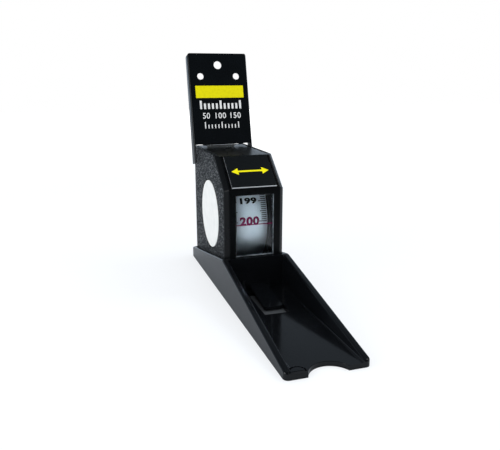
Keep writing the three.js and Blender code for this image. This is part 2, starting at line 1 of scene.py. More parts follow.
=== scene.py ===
# %% [markdown]
# # A roll-up wall stadiometer
# The object measures a person's height. A steel bracket is screwed to the wall, and a small case hangs
# from it on a tape that a spring winds back. A long tray, the headboard, carries the case and comes to
# rest on the head. Here the whole thing stands on a table, with the tape wound in.
# The CAD model fixes every size, place and joint. This script gives each piece its rounded edges, its
# print and its finish. Everything is in metres, so a size in millimetres is written as a number times MM.

from math import acos, atan2, cos, degrees, pi, radians, sin

import bmesh
import bpy
from mathutils import Matrix, Vector


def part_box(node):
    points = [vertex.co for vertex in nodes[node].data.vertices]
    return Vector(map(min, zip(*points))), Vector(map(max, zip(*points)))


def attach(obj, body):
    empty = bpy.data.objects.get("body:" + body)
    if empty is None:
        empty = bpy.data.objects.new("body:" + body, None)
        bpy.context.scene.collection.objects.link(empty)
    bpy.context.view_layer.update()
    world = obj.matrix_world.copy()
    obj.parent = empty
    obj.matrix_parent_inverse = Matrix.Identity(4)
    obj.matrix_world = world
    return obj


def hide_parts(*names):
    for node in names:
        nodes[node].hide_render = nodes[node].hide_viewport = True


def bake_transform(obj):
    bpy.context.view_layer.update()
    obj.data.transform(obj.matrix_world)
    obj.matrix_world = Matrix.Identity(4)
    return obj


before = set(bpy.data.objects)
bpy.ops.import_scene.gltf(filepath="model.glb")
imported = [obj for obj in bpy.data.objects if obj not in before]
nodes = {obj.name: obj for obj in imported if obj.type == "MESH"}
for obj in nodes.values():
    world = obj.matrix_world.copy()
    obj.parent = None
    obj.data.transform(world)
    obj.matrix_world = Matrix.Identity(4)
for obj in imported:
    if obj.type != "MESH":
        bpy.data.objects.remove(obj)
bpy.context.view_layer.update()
scene = bpy.context.scene
MM = 0.001

# %% [markdown]
# ## Camera
# The photograph was taken from a little above and to the left. The camera's place comes from matching
# the corners of the case, the bracket and the tray to their pixels. A lens of about 40 mm on a 36 mm
# wide frame gives the same strong perspective. Blender's camera looks along its own -Z, so its turn is
# built from the direction that it looks in, with its own Y kept upwards, and then a very small roll.

# %% Place the camera
VIEW_TARGET = Vector((11.2, -21.5, 21.8)) * MM
VIEW_DISTANCE = 311.84 * MM
VIEW_AZIMUTH = radians(-17.757)
VIEW_ELEVATION = radians(14.907)
VIEW_ROLL = radians(0.071)
FOCAL_PIXELS = 554.0
PHOTO_WIDTH = 500

backward = Vector((
    sin(VIEW_AZIMUTH) * cos(VIEW_ELEVATION),
    -cos(VIEW_AZIMUTH) * cos(VIEW_ELEVATION),
    sin(VIEW_ELEVATION),
))
camera_data = bpy.data.cameras.new("camera")
camera_data.sensor_fit = "HORIZONTAL"
camera_data.sensor_width = 36
camera_data.lens = camera_data.sensor_width * FOCAL_PIXELS / PHOTO_WIDTH
camera_data.clip_start = 0.01
camera = bpy.data.objects.new("camera", camera_data)
scene.collection.objects.link(camera)
camera.location = VIEW_TARGET + backward * VIEW_DISTANCE
looking = (-backward).to_track_quat("-Z", "Y").to_matrix()
camera.rotation_euler = (looking @ Matrix.Rotation(-VIEW_ROLL, 3, "Z")).to_euler()
scene.camera = camera
print(f"camera at {[round(v / MM, 1) for v in camera.location]} mm, lens {camera_data.lens:.1f} mm")

# %% [markdown]
# ## Colours and nodes
# Colours are easiest to read as the hex values of a colour picker, but shaders calculate with linear
# light. One function turns the first into the second. A second one adds a node, sets it up and wires
# its inputs. Two more start a finish and open it again, with the place on the object by which its patterns
# are laid out. Numbered inputs are counted from the node's first one. A Map Range takes its value, the
# two ends of the range that goes in and the two ends of the range that comes out. A Mix counts hidden
# inputs too: 0 is the factor, 2 and 3 are numbers, 4 and 5 vectors, and 6 and 7 colours.

# %% Helpers for finishes
def colour(hex_value):
    """An sRGB hex value such as 2B2E30 as the linear colour that a shader needs."""
    parts = [int(hex_value[i:i + 2], 16) / 255 for i in (0, 2, 4)]
    linear = [p / 12.92 if p <= 0.04045 else ((p + 0.055) / 1.055) ** 2.4 for p in parts]
    return (*linear, 1.0)


def node(tree, kind, inputs=None, **settings):
    """Adds a node. An input is given a value, an output, or a node, which stands for its first output."""
    made = tree.nodes.new(kind)
    for name, value in settings.items():
        setattr(made, name, value)
    for name, value in (inputs or {}).items():
        if isinstance(value, bpy.types.Node):
            value = value.outputs[0]
        if isinstance(value, bpy.types.NodeSocket):
            tree.links.new(value, made.inputs[name])
        else:
            made.inputs[name].default_value = value
    return made


def start_finish(name, base, roughness, ior=1.5, metallic=0.0):
    """A new material with its base values set."""
    material = bpy.data.materials.new(name)
    material.use_nodes = True
    surface = material.node_tree.nodes["Principled BSDF"]
    surface.inputs["Base Color"].default_value = colour(base)
    surface.inputs["Roughness"].default_value = roughness
    surface.inputs["IOR"].default_value = ior
    surface.inputs["Metallic"].default_value = metallic
    node(material.node_tree, "ShaderNodeTexCoord", name="place")
    return material


def open_finish(material):
    """A material's tree, its surface and its Object coordinates."""
    tree = material.node_tree
    return tree, tree.nodes["Principled BSDF"], tree.nodes["place"].outputs["Object"]


def per_mm(size):
    """The scale of a pattern whose features are this many millimetres apart."""
    return 1 / (size * MM)


print(f"mid grey 808080 is {colour('808080')[0]:.3f} in linear light")

# %% [markdown]
# ## Three kinds of wear and unevenness
# Real surfaces differ from a flat colour in three ways: they rise and fall a little, they are rubbed
# smoother in some places than in others, and their colour wanders. Image textures could show that, but a
# noise that is laid out in real millimetres does it without any file and from every side. Each of these
# functions adds one such effect to a finish. Most values of a noise lie between about 0.3 and 0.7, so
# such a band of them is what is spread over the wanted range.

# %% Relief, rub marks and clouds
def add_relief(material, size, detail, depth, strength):
    """Bends the reflections like hills of this size and depth, both in millimetres."""
    tree, surface, place = open_finish(material)
    hills = node(tree, "ShaderNodeTexNoise", {"Vector": place, "Scale": per_mm(size), "Detail": detail})
    bump = node(tree, "ShaderNodeBump", {"Height": hills, "Distance": depth * MM, "Strength": strength})
    tree.links.new(bump.outputs[0], surface.inputs["Normal"])


def add_rub_marks(material, sizes, detail, band, roughness):
    """Spreads a band of a noise over a range of roughness. Its marks have sizes along X, Y and Z, in mm."""
    tree, surface, place = open_finish(material)
    drawn = node(tree, "ShaderNodeMapping", {"Vector": place, "Scale": [per_mm(size) for size in sizes]})
    marks = node(tree, "ShaderNodeTexNoise", {"Vector": drawn, "Scale": 1.0, "Detail": detail})
    low, high = roughness
    rough = node(tree, "ShaderNodeMapRange", {0: marks, 1: band[0], 2: band[1], 3: low, 4: high})
    tree.links.new(rough.outputs[0], surface.inputs["Roughness"])


def add_clouds(material, size, detail, band, tones):
    """Spreads a band of a noise over the range between two hex colours."""
    tree, surface, place = open_finish(material)
    clouds = node(tree, "ShaderNodeTexNoise", {"Vector": place, "Scale": per_mm(size), "Detail": detail})
    tone = node(tree, "ShaderNodeValToRGB", {0: clouds})
    for element, position, hex_value in zip(tone.color_ramp.elements, band, tones):
        element.position = position
        element.color = colour(hex_value)
    tree.links.new(tone.outputs[0], surface.inputs["Base Color"])


print("effects ready: relief, rub marks and clouds")

# %% [markdown]
# ## Moulded black ABS, in three textures
# The plastic is one and the same, acrylonitrile butadiene styrene with carbon black. What the eye tells
# apart is the mould. The case sides come from a mould etched with a leather-like grain of small pebbles,
# each with its own glint, so the side looks grey where it reflects a bright room. The cover comes from a
# polished mould and stays deep black with soft reflections. The tray lies between the two.
# The grain could be modelled, but pebbles of 1 to 2 mm are far cheaper as a bump in the shader. Voronoi
# cells give the pebbles, and two noises break up their even size. The bump is deeper than a real grain,
# so that it shows at this distance. The glints are a clear coat that only the tops of the pebbles have.
# A varied specular level would do the same here, but an exported model keeps only a varied coat.

# %% Grained ABS for the case sides
# PEBBLE holds the sizes along X, Y and Z. BEND_SHARE is how much of the warping noise goes into the
# coordinates: it moves a pebble by up to 0.6 mm.
PEBBLE = (1.1, 1.9, 0.95)
PEBBLE_DEPTH = 0.7
PEBBLE_TOP = 0.15
PEBBLE_FOOT = 0.5
PIT = 0.45
BEND_SIZE = 2.5
BEND_SHARE = 0.0006


def grained_abs():
    """Black pebbles with a pale glint on each top, over a base colour with painted sheen on the tops and
    painted shade at the feet.
    """
    material = start_finish("grained_black_abs", "14181B", 0.42, ior=1.4)
    tree, surface, place = open_finish(material)
    warp = node(tree, "ShaderNodeTexNoise", {"Vector": place, "Scale": per_mm(BEND_SIZE), "Detail": 2.0})
    bent = node(
        tree, "ShaderNodeMix",
        {0: BEND_SHARE, 4: place, 5: warp.outputs["Color"]},
        data_type="VECTOR",
    )
    cells = node(
        tree, "ShaderNodeMapping",
        {"Vector": bent.outputs[1], "Scale": [per_mm(size) for size in PEBBLE]},
    )
    pebbles = node(
        tree, "ShaderNodeTexVoronoi",
        {"Vector": cells, "Scale": 1.0, "Smoothness": 0.4},
        feature="SMOOTH_F1",
    ).outputs["Distance"]
    pits = node(tree, "ShaderNodeTexNoise", {"Vector": place, "Scale": per_mm(PIT), "Detail": 3.0})
    height = node(tree, "ShaderNodeMath", {0: pits, 1: pebbles}, operation="SUBTRACT")
    bump = node(tree, "ShaderNodeBump", {"Height": height, "Distance": PEBBLE_DEPTH * MM, "Strength": 1.0})
    tree.links.new(bump.outputs[0], surface.inputs["Normal"])
    tree.links.new(bump.outputs[0], surface.inputs["Coat Normal"])
    # The base colour is painted lighter on the pebble tops and darker at their feet: a painted sheen on the
    # tops and painted shade between the pebbles.
    painted_pebble_tones = node(tree, "ShaderNodeValToRGB", {0: pebbles})
    painted_sheen_tone, painted_shade_tone = painted_pebble_tones.color_ramp.elements
    painted_sheen_tone.position = 0.12
    painted_sheen_tone.color = colour("171B1E")
    painted_shade_tone.position = PEBBLE_FOOT
    painted_shade_tone.color = colour("0E1113")
    tree.links.new(painted_pebble_tones.outputs[0], surface.inputs["Base Color"])
    glint = node(tree, "ShaderNodeMapRange", {0: pebbles, 1: PEBBLE_TOP, 2: PEBBLE_FOOT, 3: 1.0, 4: 0.0})
    tree.links.new(glint.outputs[0], surface.inputs["Coat Weight"])
    surface.inputs["Coat Roughness"].default_value = 0.28
    surface.inputs["Coat IOR"].default_value = 1.6
    surface.inputs["Specular IOR Level"].default_value = 0.1
    return material


GRAINED_ABS = grained_abs()
print(f"{GRAINED_ABS.name}: pebbles about {PEBBLE[1]} by {PEBBLE[2]} mm")

# %% Polished and satin ABS
# The polished mould leaves broad sink marks, and hands leave marks a few millimetres across.
POLISHED_ABS = start_finish("polished_black_abs", "06080A", 0.3, ior=1.26)
add_relief(POLISHED_ABS, 6, 1.0, depth=0.02, strength=0.4)
add_rub_marks(POLISHED_ABS, (3, 3, 3), 5.0, band=(0.35, 0.7), roughness=(0.27, 0.36))

# The satin mould leaves a fine frost. Use draws long rub marks along the tray.
SATIN_ABS = start_finish("satin_black_abs", "0B0D10", 0.2, ior=1.36)
add_relief(SATIN_ABS, 0.6, 2.0, depth=0.006, strength=0.5)
add_rub_marks(SATIN_ABS, (1.2, 14, 2), 4.0, band=(0.3, 0.7), roughness=(0.08, 0.17))
print(f"{POLISHED_ABS.name}: handling marks of 3 mm. {SATIN_ABS.name}: a frost of 0.6 mm")

# %% [markdown]
# ## Stove enamel on sheet steel
# The bracket is dipped or sprayed, then baked. The film levels out but keeps a faint orange peel, a
# ripple of a millimetre or two, which bends its reflections softly. It is a paint, so it isn't metallic:
# the steel under it never shows.

# %% Black enamel
BLACK_ENAMEL = start_finish("black_stove_enamel", "090C0F", 0.24, ior=1.27)
add_relief(BLACK_ENAMEL, 1.6, 1.0, depth=0.03, strength=0.5)
add_clouds(BLACK_ENAMEL, 9, 3.0, band=(0.0, 1.0), tones=("080B0E", "0D1216"))
print(f"{BLACK_ENAMEL.name}: orange peel 1.6 mm")

# %% [markdown]
# ## Sheet vinyl, white plastic and clear acrylic
# The plate on the slope is a dark vinyl laminate with a fine emboss, on a pale core whose bare lower strip
# is a painted highlight. The side discs are plain white polystyrene with a faint sheen. The window is
# injection-moulded acrylic: clear, with an IOR of 1.49, and light passes through it, so it is a transmissive
# surface and not a half-transparent paint. Its cut rim is frosted: it scatters light and looks grey in some
# places and pale in others, and the pale patches are a painted highlight along the window's edges.

# %% Vinyl plate, white discs and the lens
# The emboss blurs what the plate mirrors into a soft grey band.
PLATE_VINYL = start_finish("embossed_dark_vinyl", "101417", 0.24, ior=1.36)
add_relief(PLATE_VINYL, 0.5, 2.0, depth=0.006, strength=0.5)

# Cut laminate is smooth in some places and dull in others, so its bright line, a painted highlight, is
# uneven.
PLATE_CORE_HIGHLIGHT = start_finish("pale_core_painted_highlight", "C9D0D6", 0.3)
add_rub_marks(PLATE_CORE_HIGHLIGHT, (2, 2, 2), 2.0, band=(0.3, 0.7), roughness=(0.22, 0.4))

# Handling leaves faint clouds on the white.
WHITE_POLYSTYRENE = start_finish("white_polystyrene", "EDF1F2", 0.42)
add_relief(WHITE_POLYSTYRENE, 4, 4.0, depth=0.02, strength=0.4)
add_clouds(WHITE_POLYSTYRENE, 4, 4.0, band=(0.35, 0.6), tones=("EDEFED", "F4F5F3"))

# The mould leaves a very slight ripple, which bends the little that the pane mirrors.
CLEAR_ACRYLIC = start_finish("moulded_clear_acrylic", "F4F9FC", 0.02, ior=1.49)
add_relief(CLEAR_ACRYLIC, 8, 1.0, depth=0.01, strength=0.3)
open_finish(CLEAR_ACRYLIC)[1].inputs["Transmission Weight"].default_value = 1.0

# A frosted cut is patchy, from grey to pale, and its pale patches are a painted highlight along the window's
# edges.
FROSTED_RIM_HIGHLIGHT = start_finish("frosted_edge_painted_highlight", "B4C2CC", 0.35, ior=1.49)
add_clouds(FROSTED_RIM_HIGHLIGHT, 3, 3.0, band=(0.35, 0.65), tones=("2C3439", "98A4AE"))
print(f"{PLATE_VINYL.name}, {WHITE_POLYSTYRENE.name} and {CLEAR_ACRYLIC.name} are ready")

# %% [markdown]
# ## Coated tape and its printed marks
# The tape is woven glass fibre in a bluish white vinyl coat, and the weave telegraphs through. Its real
# threads, about a third of a millimetre apart, would be finer than a pixel, so they are drawn 2.2 mm apart.
# The millimetre marks are printed on the coat. They follow the tape round its coil, so they are read from
# the strip's own UV map, in which U is the length along the tape and V the place across it, both in
# metres. A mark is where the length, counted in marks, is close to a whole number.

# %% Blank tape
TAPE_WHITE = "DDE9F3"
THREAD = 2.2
WAVES_AT_SCALE_ONE = 20 / (2 * pi)


def add_weave(material, place):
    """Threads in two directions, as a bump."""
    tree, surface, _ = open_finish(material)
    along, across = (
        node(
            tree, "ShaderNodeTexWave",
            {"Vector": place, "Scale": per_mm(THREAD) / WAVES_AT_SCALE_ONE, "Distortion": 0.4},
            bands_direction=direction,
        ).outputs["Fac"]
        for direction in ("X", "Y")
    )
    weave = node(tree, "ShaderNodeMath", {0: along, 1: across}, operation="MAXIMUM")
    bump = node(tree, "ShaderNodeBump", {"Height": weave, "Distance": 0.01 * MM, "Strength": 0.5})
    tree.links.new(bump.outputs[0], surface.inputs["Normal"])


def blank_tape():
    """The tape without print. Its coat lets light in, and spreads it over about 2 mm."""
    material = start_finish("coated_tape", TAPE_WHITE, 0.4)
    _, surface, place = open_finish(material)
    surface.inputs["Subsurface Weight"].default_value = 0.6
    surface.inputs["Subsurface Scale"].default_value = 2 * MM
    surface.inputs["Subsurface Radius"].default_value = (1, 1, 1)
    add_weave(material, place)
    return material


COATED_TAPE = blank_tape()
print(f"{COATED_TAPE.name}: threads drawn {THREAD} mm apart")

# %% Tape with its millimetre marks
MARK_THICKNESS = 0.4
MARK_SETS = (
    # spacing along the tape, nearest and furthest place across it, in millimetres
    (1, 5.0, 7.6),
    (5, 4.3, 7.6),
    (10, 3.8, 7.7),
    (5, -7.7, -7.1),
)
PRINT_BLACK_HEX = "111417"


def marked_tape():
    """The coated tape with its marks, counted along the strip's own UV map."""
    material = start_finish("printed_tape", TAPE_WHITE, 0.4)
    tree, surface, _ = open_finish(material)
    strip = node(tree, "ShaderNodeUVMap", uv_map="strip").outputs[0]
    add_weave(material, strip)
    parts = node(tree, "ShaderNodeSeparateXYZ", {0: strip})
    along = parts.outputs["X"]
    across = parts.outputs["Y"]
    marks = 0.0
    for spacing, near, far in MARK_SETS:
        counted = node(tree, "ShaderNodeMath", {0: along, 1: per_mm(spacing)}, operation="MULTIPLY")
        off = node(tree, "ShaderNodeMath", {0: counted, 1: 0.5}, operation="PINGPONG")
        reach = MARK_THICKNESS / 2 / spacing
        line = node(tree, "ShaderNodeMath", {0: off, 1: reach}, operation="LESS_THAN")
        here = node(
            tree, "ShaderNodeMath",
            {0: across, 1: (near + far) / 2 * MM, 2: (far - near) / 2 * MM},
            operation="COMPARE",
        )
        mark = node(tree, "ShaderNodeMath", {0: line, 1: here}, operation="MULTIPLY")
        marks = node(tree, "ShaderNodeMath", {0: marks, 1: mark}, operation="MAXIMUM")
    # The tape has no marks before its first one.
    started = node(tree, "ShaderNodeMath", {0: along, 1: -MARK_THICKNESS * MM}, operation="GREATER_THAN")
    inked = node(tree, "ShaderNodeMath", {0: marks, 1: started}, operation="MULTIPLY")
    tone = node(
        tree, "ShaderNodeMix",
        {0: inked, 6: colour(TAPE_WHITE), 7: colour(PRINT_BLACK_HEX)},
        data_type="RGBA",
    )
    tree.links.new(tone.outputs[2], surface.inputs["Base Color"])
    return material


PRINTED_TAPE = marked_tape()
print(f"{PRINTED_TAPE.name}: {len(MARK_SETS)} sets of marks")

# %% [markdown]
# ## Inks
# The figures, the stripe and the index line are screen print: a film of ink a few hundredths of a
# millimetre thick, with a dull sheen and a slightly uneven cover. Each ink is one material, made by one
# function that takes its colour.

# %% Inks
def ink(name, full, darker):
    """An ink with its full colour, and a darker tone for the uneven places."""
    material = start_finish(name, full, 0.5, ior=1.2)
    add_clouds(material, 1.2, 3.0, band=(0.3, 0.55), tones=(darker, full))
    return material


YELLOW_INK = ink("yellow_ink", "EEE602", "E5DD02")
WHITE_INK = ink("white_ink", "F2F4F5", "DDE1E4")
BLACK_INK = ink("black_ink", PRINT_BLACK_HEX, "0B0D0F")
CRIMSON_INK = ink("crimson_ink", "7A0C4A", "680A3E")
print("inks: yellow, white, black and crimson")

# %% [markdown]
# ## Metals and the drum's plastic
# Screws, studs, washers and the axle are zinc-plated steel: a metal with a fine brushed streak from
# turning. The power spring is blued steel. Both are fully metallic and keep the default IOR, because
# a metal's reflection comes from its base colour. The drum is dark acetal, waxy and a little rough.

# %% Steel and acetal
# The turning streaks run round the screws and draw their highlights out.
ZINC_STEEL = start_finish("zinc_plated_steel", "B9BEC2", 0.3, metallic=1.0)
add_rub_marks(ZINC_STEEL, (0.15, 2, 2), 2.0, band=(0.3, 0.7), roughness=(0.22, 0.4))

# Heat gives the spring its bluish colour, in patches.
BLUED_STEEL = start_finish("blued_spring_steel", "4A5058", 0.32, metallic=1.0)
add_clouds(BLUED_STEEL, 5, 2.0, band=(0.0, 1.0), tones=("3A424E", "5C6068"))

# Moulded acetal is slightly wavy, so its dull sheen is uneven.
DARK_ACETAL = start_finish("dark_acetal", "0D1215", 0.6, ior=1.3)
add_relief(DARK_ACETAL, 3, 3.0, depth=0.02, strength=0.4)
print(f"{ZINC_STEEL.name}, {BLUED_STEEL.name} and {DARK_ACETAL.name} are ready")

# %% [markdown]
# ## Modelling helpers
# Most pieces here are plates and boxes with straight walls, so most of them start as an outline that is
# extruded. Windows and recesses are cut with Blender's exact Boolean solver. Real moulded or bent edges
# are never sharp: each catches a thin line of light. So the last step on every piece is a small bevel.

# %% Start a shape
def extrude_outline(outline, low, high, place):
    """A solid from a closed outline, pushed from low to high. place turns (a, b, depth) into a point."""
    shape = bmesh.new()
    rim = [shape.verts.new(place(a, b, low)) for a, b in outline]
    start = shape.faces.new(rim)
    pushed = bmesh.ops.extrude_face_region(shape, geom=[start])["geom"]
    moved = [v for v in pushed if isinstance(v, bmesh.types.BMVert)]
    path = Vector(place(0, 0, high)) - Vector(place(0, 0, low))
    bmesh.ops.translate(shape, verts=moved, vec=path)
    bmesh.ops.recalc_face_normals(shape, faces=shape.faces)
    return shape


def along_x(a, b, depth):
    """For an outline in Y and Z."""
    return (depth, a, b)


def along_y(a, b, depth):
    """For an outline in X and Z."""
    return (a, depth, b)


def along_z(a, b, depth):
    """For an outline in X and Y."""
    return (a, b, depth)


def box_between(low, high):
    """A block between two corners."""
    shape = bmesh.new()
    size = Vector(high) - Vector(low)
    middle = (Vector(high) + Vector(low)) / 2
    scale = Matrix.Diagonal((*size, 1))
    bmesh.ops.create_cube(shape, size=1, matrix=Matrix.Translation(middle) @ scale)
    return shape


def rod(radius, length, matrix, sides=48):
    """A round bar centred on the place of the matrix, along its Z."""
    shape = bmesh.new()
    bmesh.ops.create_cone(
        shape, cap_ends=True, segments=sides, radius1=radius, radius2=radius, depth=length, matrix=matrix,
    )
    return shape


def gaps(shape):
    """How many edges don't join exactly two faces. A closed shape has none."""
    return sum(1 for e in shape.edges if len(e.link_faces) != 2)


trial = extrude_outline([(0, 0), (MM, 0), (0, MM)], 0, MM, along_z)
print(f"a triangle pushed upwards has {len(trial.faces)} faces and {gaps(trial)} gaps")
trial.free()

# %% Cut and join shapes
TOUCH = 0.01 * MM
DOUBLE = 0.001 * MM
FLAT_BELOW = radians(0.5)


def as_object(shape, name):
    """A bmesh as an object in the scene. The bmesh is used up."""
    mesh = bpy.data.meshes.new(name)
    shape.to_mesh(mesh)
    shape.free()
    thing = bpy.data.objects.new(name, mesh)
    scene.collection.objects.link(thing)
    return thing


def discard(thing):
    """Removes an object and its mesh."""
    mesh = thing.data
    bpy.data.objects.remove(thing)
    bpy.data.meshes.remove(mesh)


def solved(thing):
    """An object's shape after its modifiers, as a bmesh. The object is used up."""
    result = bmesh.new()
    result.from_mesh(thing.evaluated_get(bpy.context.evaluated_depsgraph_get()).to_mesh())
    discard(thing)
    return result


def combine(first, second, operation):
    """The first shape without what lies in the second (DIFFERENCE), or with only that (INTERSECT)."""
    base = as_object(first, "base")
    tool = as_object(second, "tool")
    modifier = base.modifiers.new("boolean", "BOOLEAN")
    modifier.operation = operation
    modifier.solver = "EXACT"
    modifier.object = tool
    result = solved(base)
    discard(tool)
    bmesh.ops.dissolve_limit(result, angle_limit=FLAT_BELOW, verts=result.verts, edges=result.edges)
    return result


def join(shapes):
    """Several shapes as one, without welding them."""
    whole = bmesh.new()
    for shape in shapes:
        scrap = bpy.data.meshes.new("part")
        shape.to_mesh(scrap)
        shape.free()
        whole.from_mesh(scrap)
        bpy.data.meshes.remove(scrap)
    return whole


def merged_copy(name):
    """A copy of a CAD node's mesh, with its doubles merged and its flat faces made whole."""
    shape = bmesh.new()
    shape.from_mesh(nodes[name].data)
    bmesh.ops.remove_doubles(shape, verts=shape.verts, dist=DOUBLE)
    bmesh.ops.dissolve_limit(shape, angle_limit=FLAT_BELOW, verts=shape.verts, edges=shape.edges)
    return shape


block = box_between((0, 0, 0), (2 * MM, 2 * MM, 2 * MM))
trial = combine(block, box_between((-MM, -MM, -MM), (MM, MM, MM)), "DIFFERENCE")
print(f"a block with one corner cut out has {len(trial.faces)} faces and {gaps(trial)} gaps")
trial.free()

# %% Round and settle
SMOOTH_BELOW = radians(35)


def round_edges(shape, radius, segments, wanted, sharper_than=25):
    """Rounds the edges that turn by more than an angle and that wanted(edge) picks."""
    edges = [
        e for e in shape.edges
        if len(e.link_faces) == 2
        and e.calc_face_angle(0) > radians(sharper_than)
        and wanted(e)
    ]
    bmesh.ops.bevel(
        shape, geom=edges, offset=radius, offset_type="OFFSET", segments=segments,
        profile=0.5, affect="EDGES", clamp_overlap=False, material=-1,
    )
    return len(edges)


def every(e):
    """Picks each edge."""
    return True


def above(level):
    """Picks the edges that lie wholly above a height."""
    return lambda e: all(v.co.z > level for v in e.verts)


def keeps_x(e):
    """Whether both ends of an edge have the same X."""
    return abs(e.verts[0].co.x - e.verts[1].co.x) < TOUCH


def settle(thing, material, body, stands_for=(), weighted=True):
    """Finishes an object: shading, material, body and the CAD nodes it stands for."""
    mesh = thing.data
    mesh.materials.clear()
    mesh.materials.append(material)
    for polygon in mesh.polygons:
        polygon.use_smooth = True
    mesh.set_sharp_from_angle(angle=SMOOTH_BELOW)
    if weighted:
        thing.modifiers.new("even_shading", "WEIGHTED_NORMAL").keep_sharp = True
    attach(thing, body)
    if stands_for:
        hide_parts(*stands_for)
    size = [round(v / MM, 1) for v in thing.dimensions]
    print(f"{thing.name}: {len(mesh.polygons)} faces, {size} mm")


trial = box_between((0, 0, 0), (MM, MM, MM))
print(f"a block has {round_edges(trial, TOUCH, 2, every)} edges to round, and then {len(trial.faces)} faces")
trial.free()

# %% [markdown]
# ## The headboard
# It is one moulding: a floor, two side walls that rise in a straight ramp, a cross wall in front of the
# case and a low bay behind it that holds the case. Its side view and its plan are both simple outlines,
# so it is made as a woodworker would saw it: the plan is extruded upwards, and only what also lies inside
# the extruded side view is kept. The trough and the bay are then cut out.

# %% Sizes of the headboard
# FIT is the gap between pieces that fit into each other, OVER is how far a cutter reaches past its cut.
tray_low, tray_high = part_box("headboard")
case_low, case_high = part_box("front_cover")
FIT = 0.3 * MM
OVER = 5 * MM
FLOOR = 2 * MM
SIDE_WALL = 2.9 * MM
CROSS_WALL = 1.9 * MM
TIP_HEIGHT = 2.9 * MM
REAR_HEIGHT = 5.2 * MM
FLARE = 0.4 * MM
TIP_CORNER = 2 * MM
REAR_CORNER = 2.4 * MM
TROUGH_FILLET = 1.3 * MM

tray_half = tray_high.x - FLARE
trough_half = tray_half - SIDE_WALL
bay_half = case_high.x + FIT
bay_front = case_low.y - FIT
cross_front = bay_front - CROSS_WALL
print(f"trough {2 * trough_half / MM:.1f} mm wide, cross wall at Y {cross_front / MM:.1f} mm")

# %% Saw out the tray
plan = [
    (-tray_half, tray_low.y),
    (tray_half, tray_low.y),
    (tray_half, cross_front),
    (tray_high.x, tray_high.y),
    (tray_low.x, tray_high.y),
    (-tray_half, cross_front),
]
tray = extrude_outline(plan, 0, tray_high.z, along_z)


def upright_at(y):
    """Picks the edges that stand upright at one place along the tray."""
    return lambda e: keeps_x(e) and all(abs(v.co.y - y) < TOUCH for v in e.verts)


round_edges(tray, TIP_CORNER, 6, upright_at(tray_low.y))
round_edges(tray, REAR_CORNER, 6, upright_at(tray_high.y))
side_view = [
    (tray_high.y, 0),
    (tray_high.y, REAR_HEIGHT),
    (bay_front, tray_high.z),
    (cross_front, tray_high.z),
    (tray_low.y, TIP_HEIGHT),
    (tray_low.y, 0),
]
side_limit = extrude_outline(side_view, tray_low.x - OVER, tray_high.x + OVER, along_x)
tray = combine(tray, side_limit, "INTERSECT")
print(f"blank of the tray: {len(tray.faces)} faces")

# %% Cut the trough, the bay, the front notch and the floor window
NOTCH_WIDTH = 16 * MM
NOTCH_DEPTH = 5.5 * MM
WINDOW_LEFT = -6.2 * MM
WINDOW_RIGHT = 5.3 * MM
WINDOW_LENGTH = 27 * MM
WINDOW_FROM_WALL = 3.8 * MM

ceiling = tray_high.z + OVER
trough = box_between((-trough_half, tray_low.y - OVER, FLOOR), (trough_half, cross_front, ceiling))
round_edges(
    trough, TROUGH_FILLET, 4,
    lambda e: keeps_x(e) and all(v.co.z < FLOOR + MM for v in e.verts),
)
bay = box_between((-bay_half, bay_front, FLOOR), (bay_half, FIT, ceiling))
notch_radius = (NOTCH_WIDTH ** 2 / 4 + NOTCH_DEPTH ** 2) / (2 * NOTCH_DEPTH)
notch_middle = Vector((0, tray_low.y + NOTCH_DEPTH - notch_radius, 0))
notch = rod(notch_radius, 4 * OVER, Matrix.Translation(notch_middle), sides=96)
window_rear = cross_front - WINDOW_FROM_WALL
window = box_between(
    (WINDOW_LEFT, window_rear - WINDOW_LENGTH, -OVER),
    (WINDOW_RIGHT, window_rear, FLOOR + OVER),
)
for cutter in (trough, bay, notch, window):
    tray = combine(tray, cutter, "DIFFERENCE")
print(f"cut tray: {len(tray.faces)} faces, {gaps(tray)} gaps, notch radius {notch_radius / MM:.1f} mm")

# %% [markdown]
# ## Toe boss, latch and ribs
# On the left of the toe stands a small round boss with a ring groove, cut flush with the tip. A springy
# tongue, the latch, reaches forward from the cross wall over the floor window, and a rib stands on each
# side of the window. All of them could be joined to the tray by Booleans. Here each is its own closed
# shape that reaches a little into the tray, as that keeps their edges easy to pick and round.

# %% Toe boss
BOSS_RADIUS = 3.6 * MM
BOSS_RISE = 1.3 * MM
BOSS_FROM_SIDE = 5 * MM
BOSS_SETBACK = 0.05 * MM
BOSS_EDGE = 0.2 * MM
GROOVE_OUTER = 3.35 * MM
GROOVE_INNER = 2.7 * MM
GROOVE_DEPTH = 0.6 * MM

boss_height = FLOOR + BOSS_RISE
boss_middle = Vector((-tray_half + BOSS_FROM_SIDE, tray_low.y, FLOOR / 2 + boss_height / 2))
boss = rod(BOSS_RADIUS, boss_height - FLOOR, Matrix.Translation(boss_middle), sides=64)
boss_limit = box_between(
    (-tray_half, tray_low.y + BOSS_SETBACK, 0),
    (0, tray_low.y + 2 * BOSS_RADIUS, 2 * boss_height),
)
boss = combine(boss, boss_limit, "INTERSECT")
round_edges(boss, BOSS_EDGE, 3, above(FLOOR + MM))
groove_place = Matrix.Translation((boss_middle.x, boss_middle.y, boss_height))
groove = combine(
    rod(GROOVE_OUTER, 2 * GROOVE_DEPTH, groove_place, sides=64),
    rod(GROOVE_INNER, 3 * GROOVE_DEPTH, groove_place, sides=64),
    "DIFFERENCE",
)
boss = combine(boss, groove, "DIFFERENCE")
additions = [boss]
print(f"boss {BOSS_RISE / MM} mm above the floor, {gaps(boss)} gaps")

# %% Round the rims and the cut edges
RIM_RADIUS = 0.75 * MM
CUT_RADIUS = 0.25 * MM
CUTS_WITHIN = 9 * MM
rims = round_edges(tray, RIM_RADIUS, 4, above(FLOOR + 0.5 * MM))


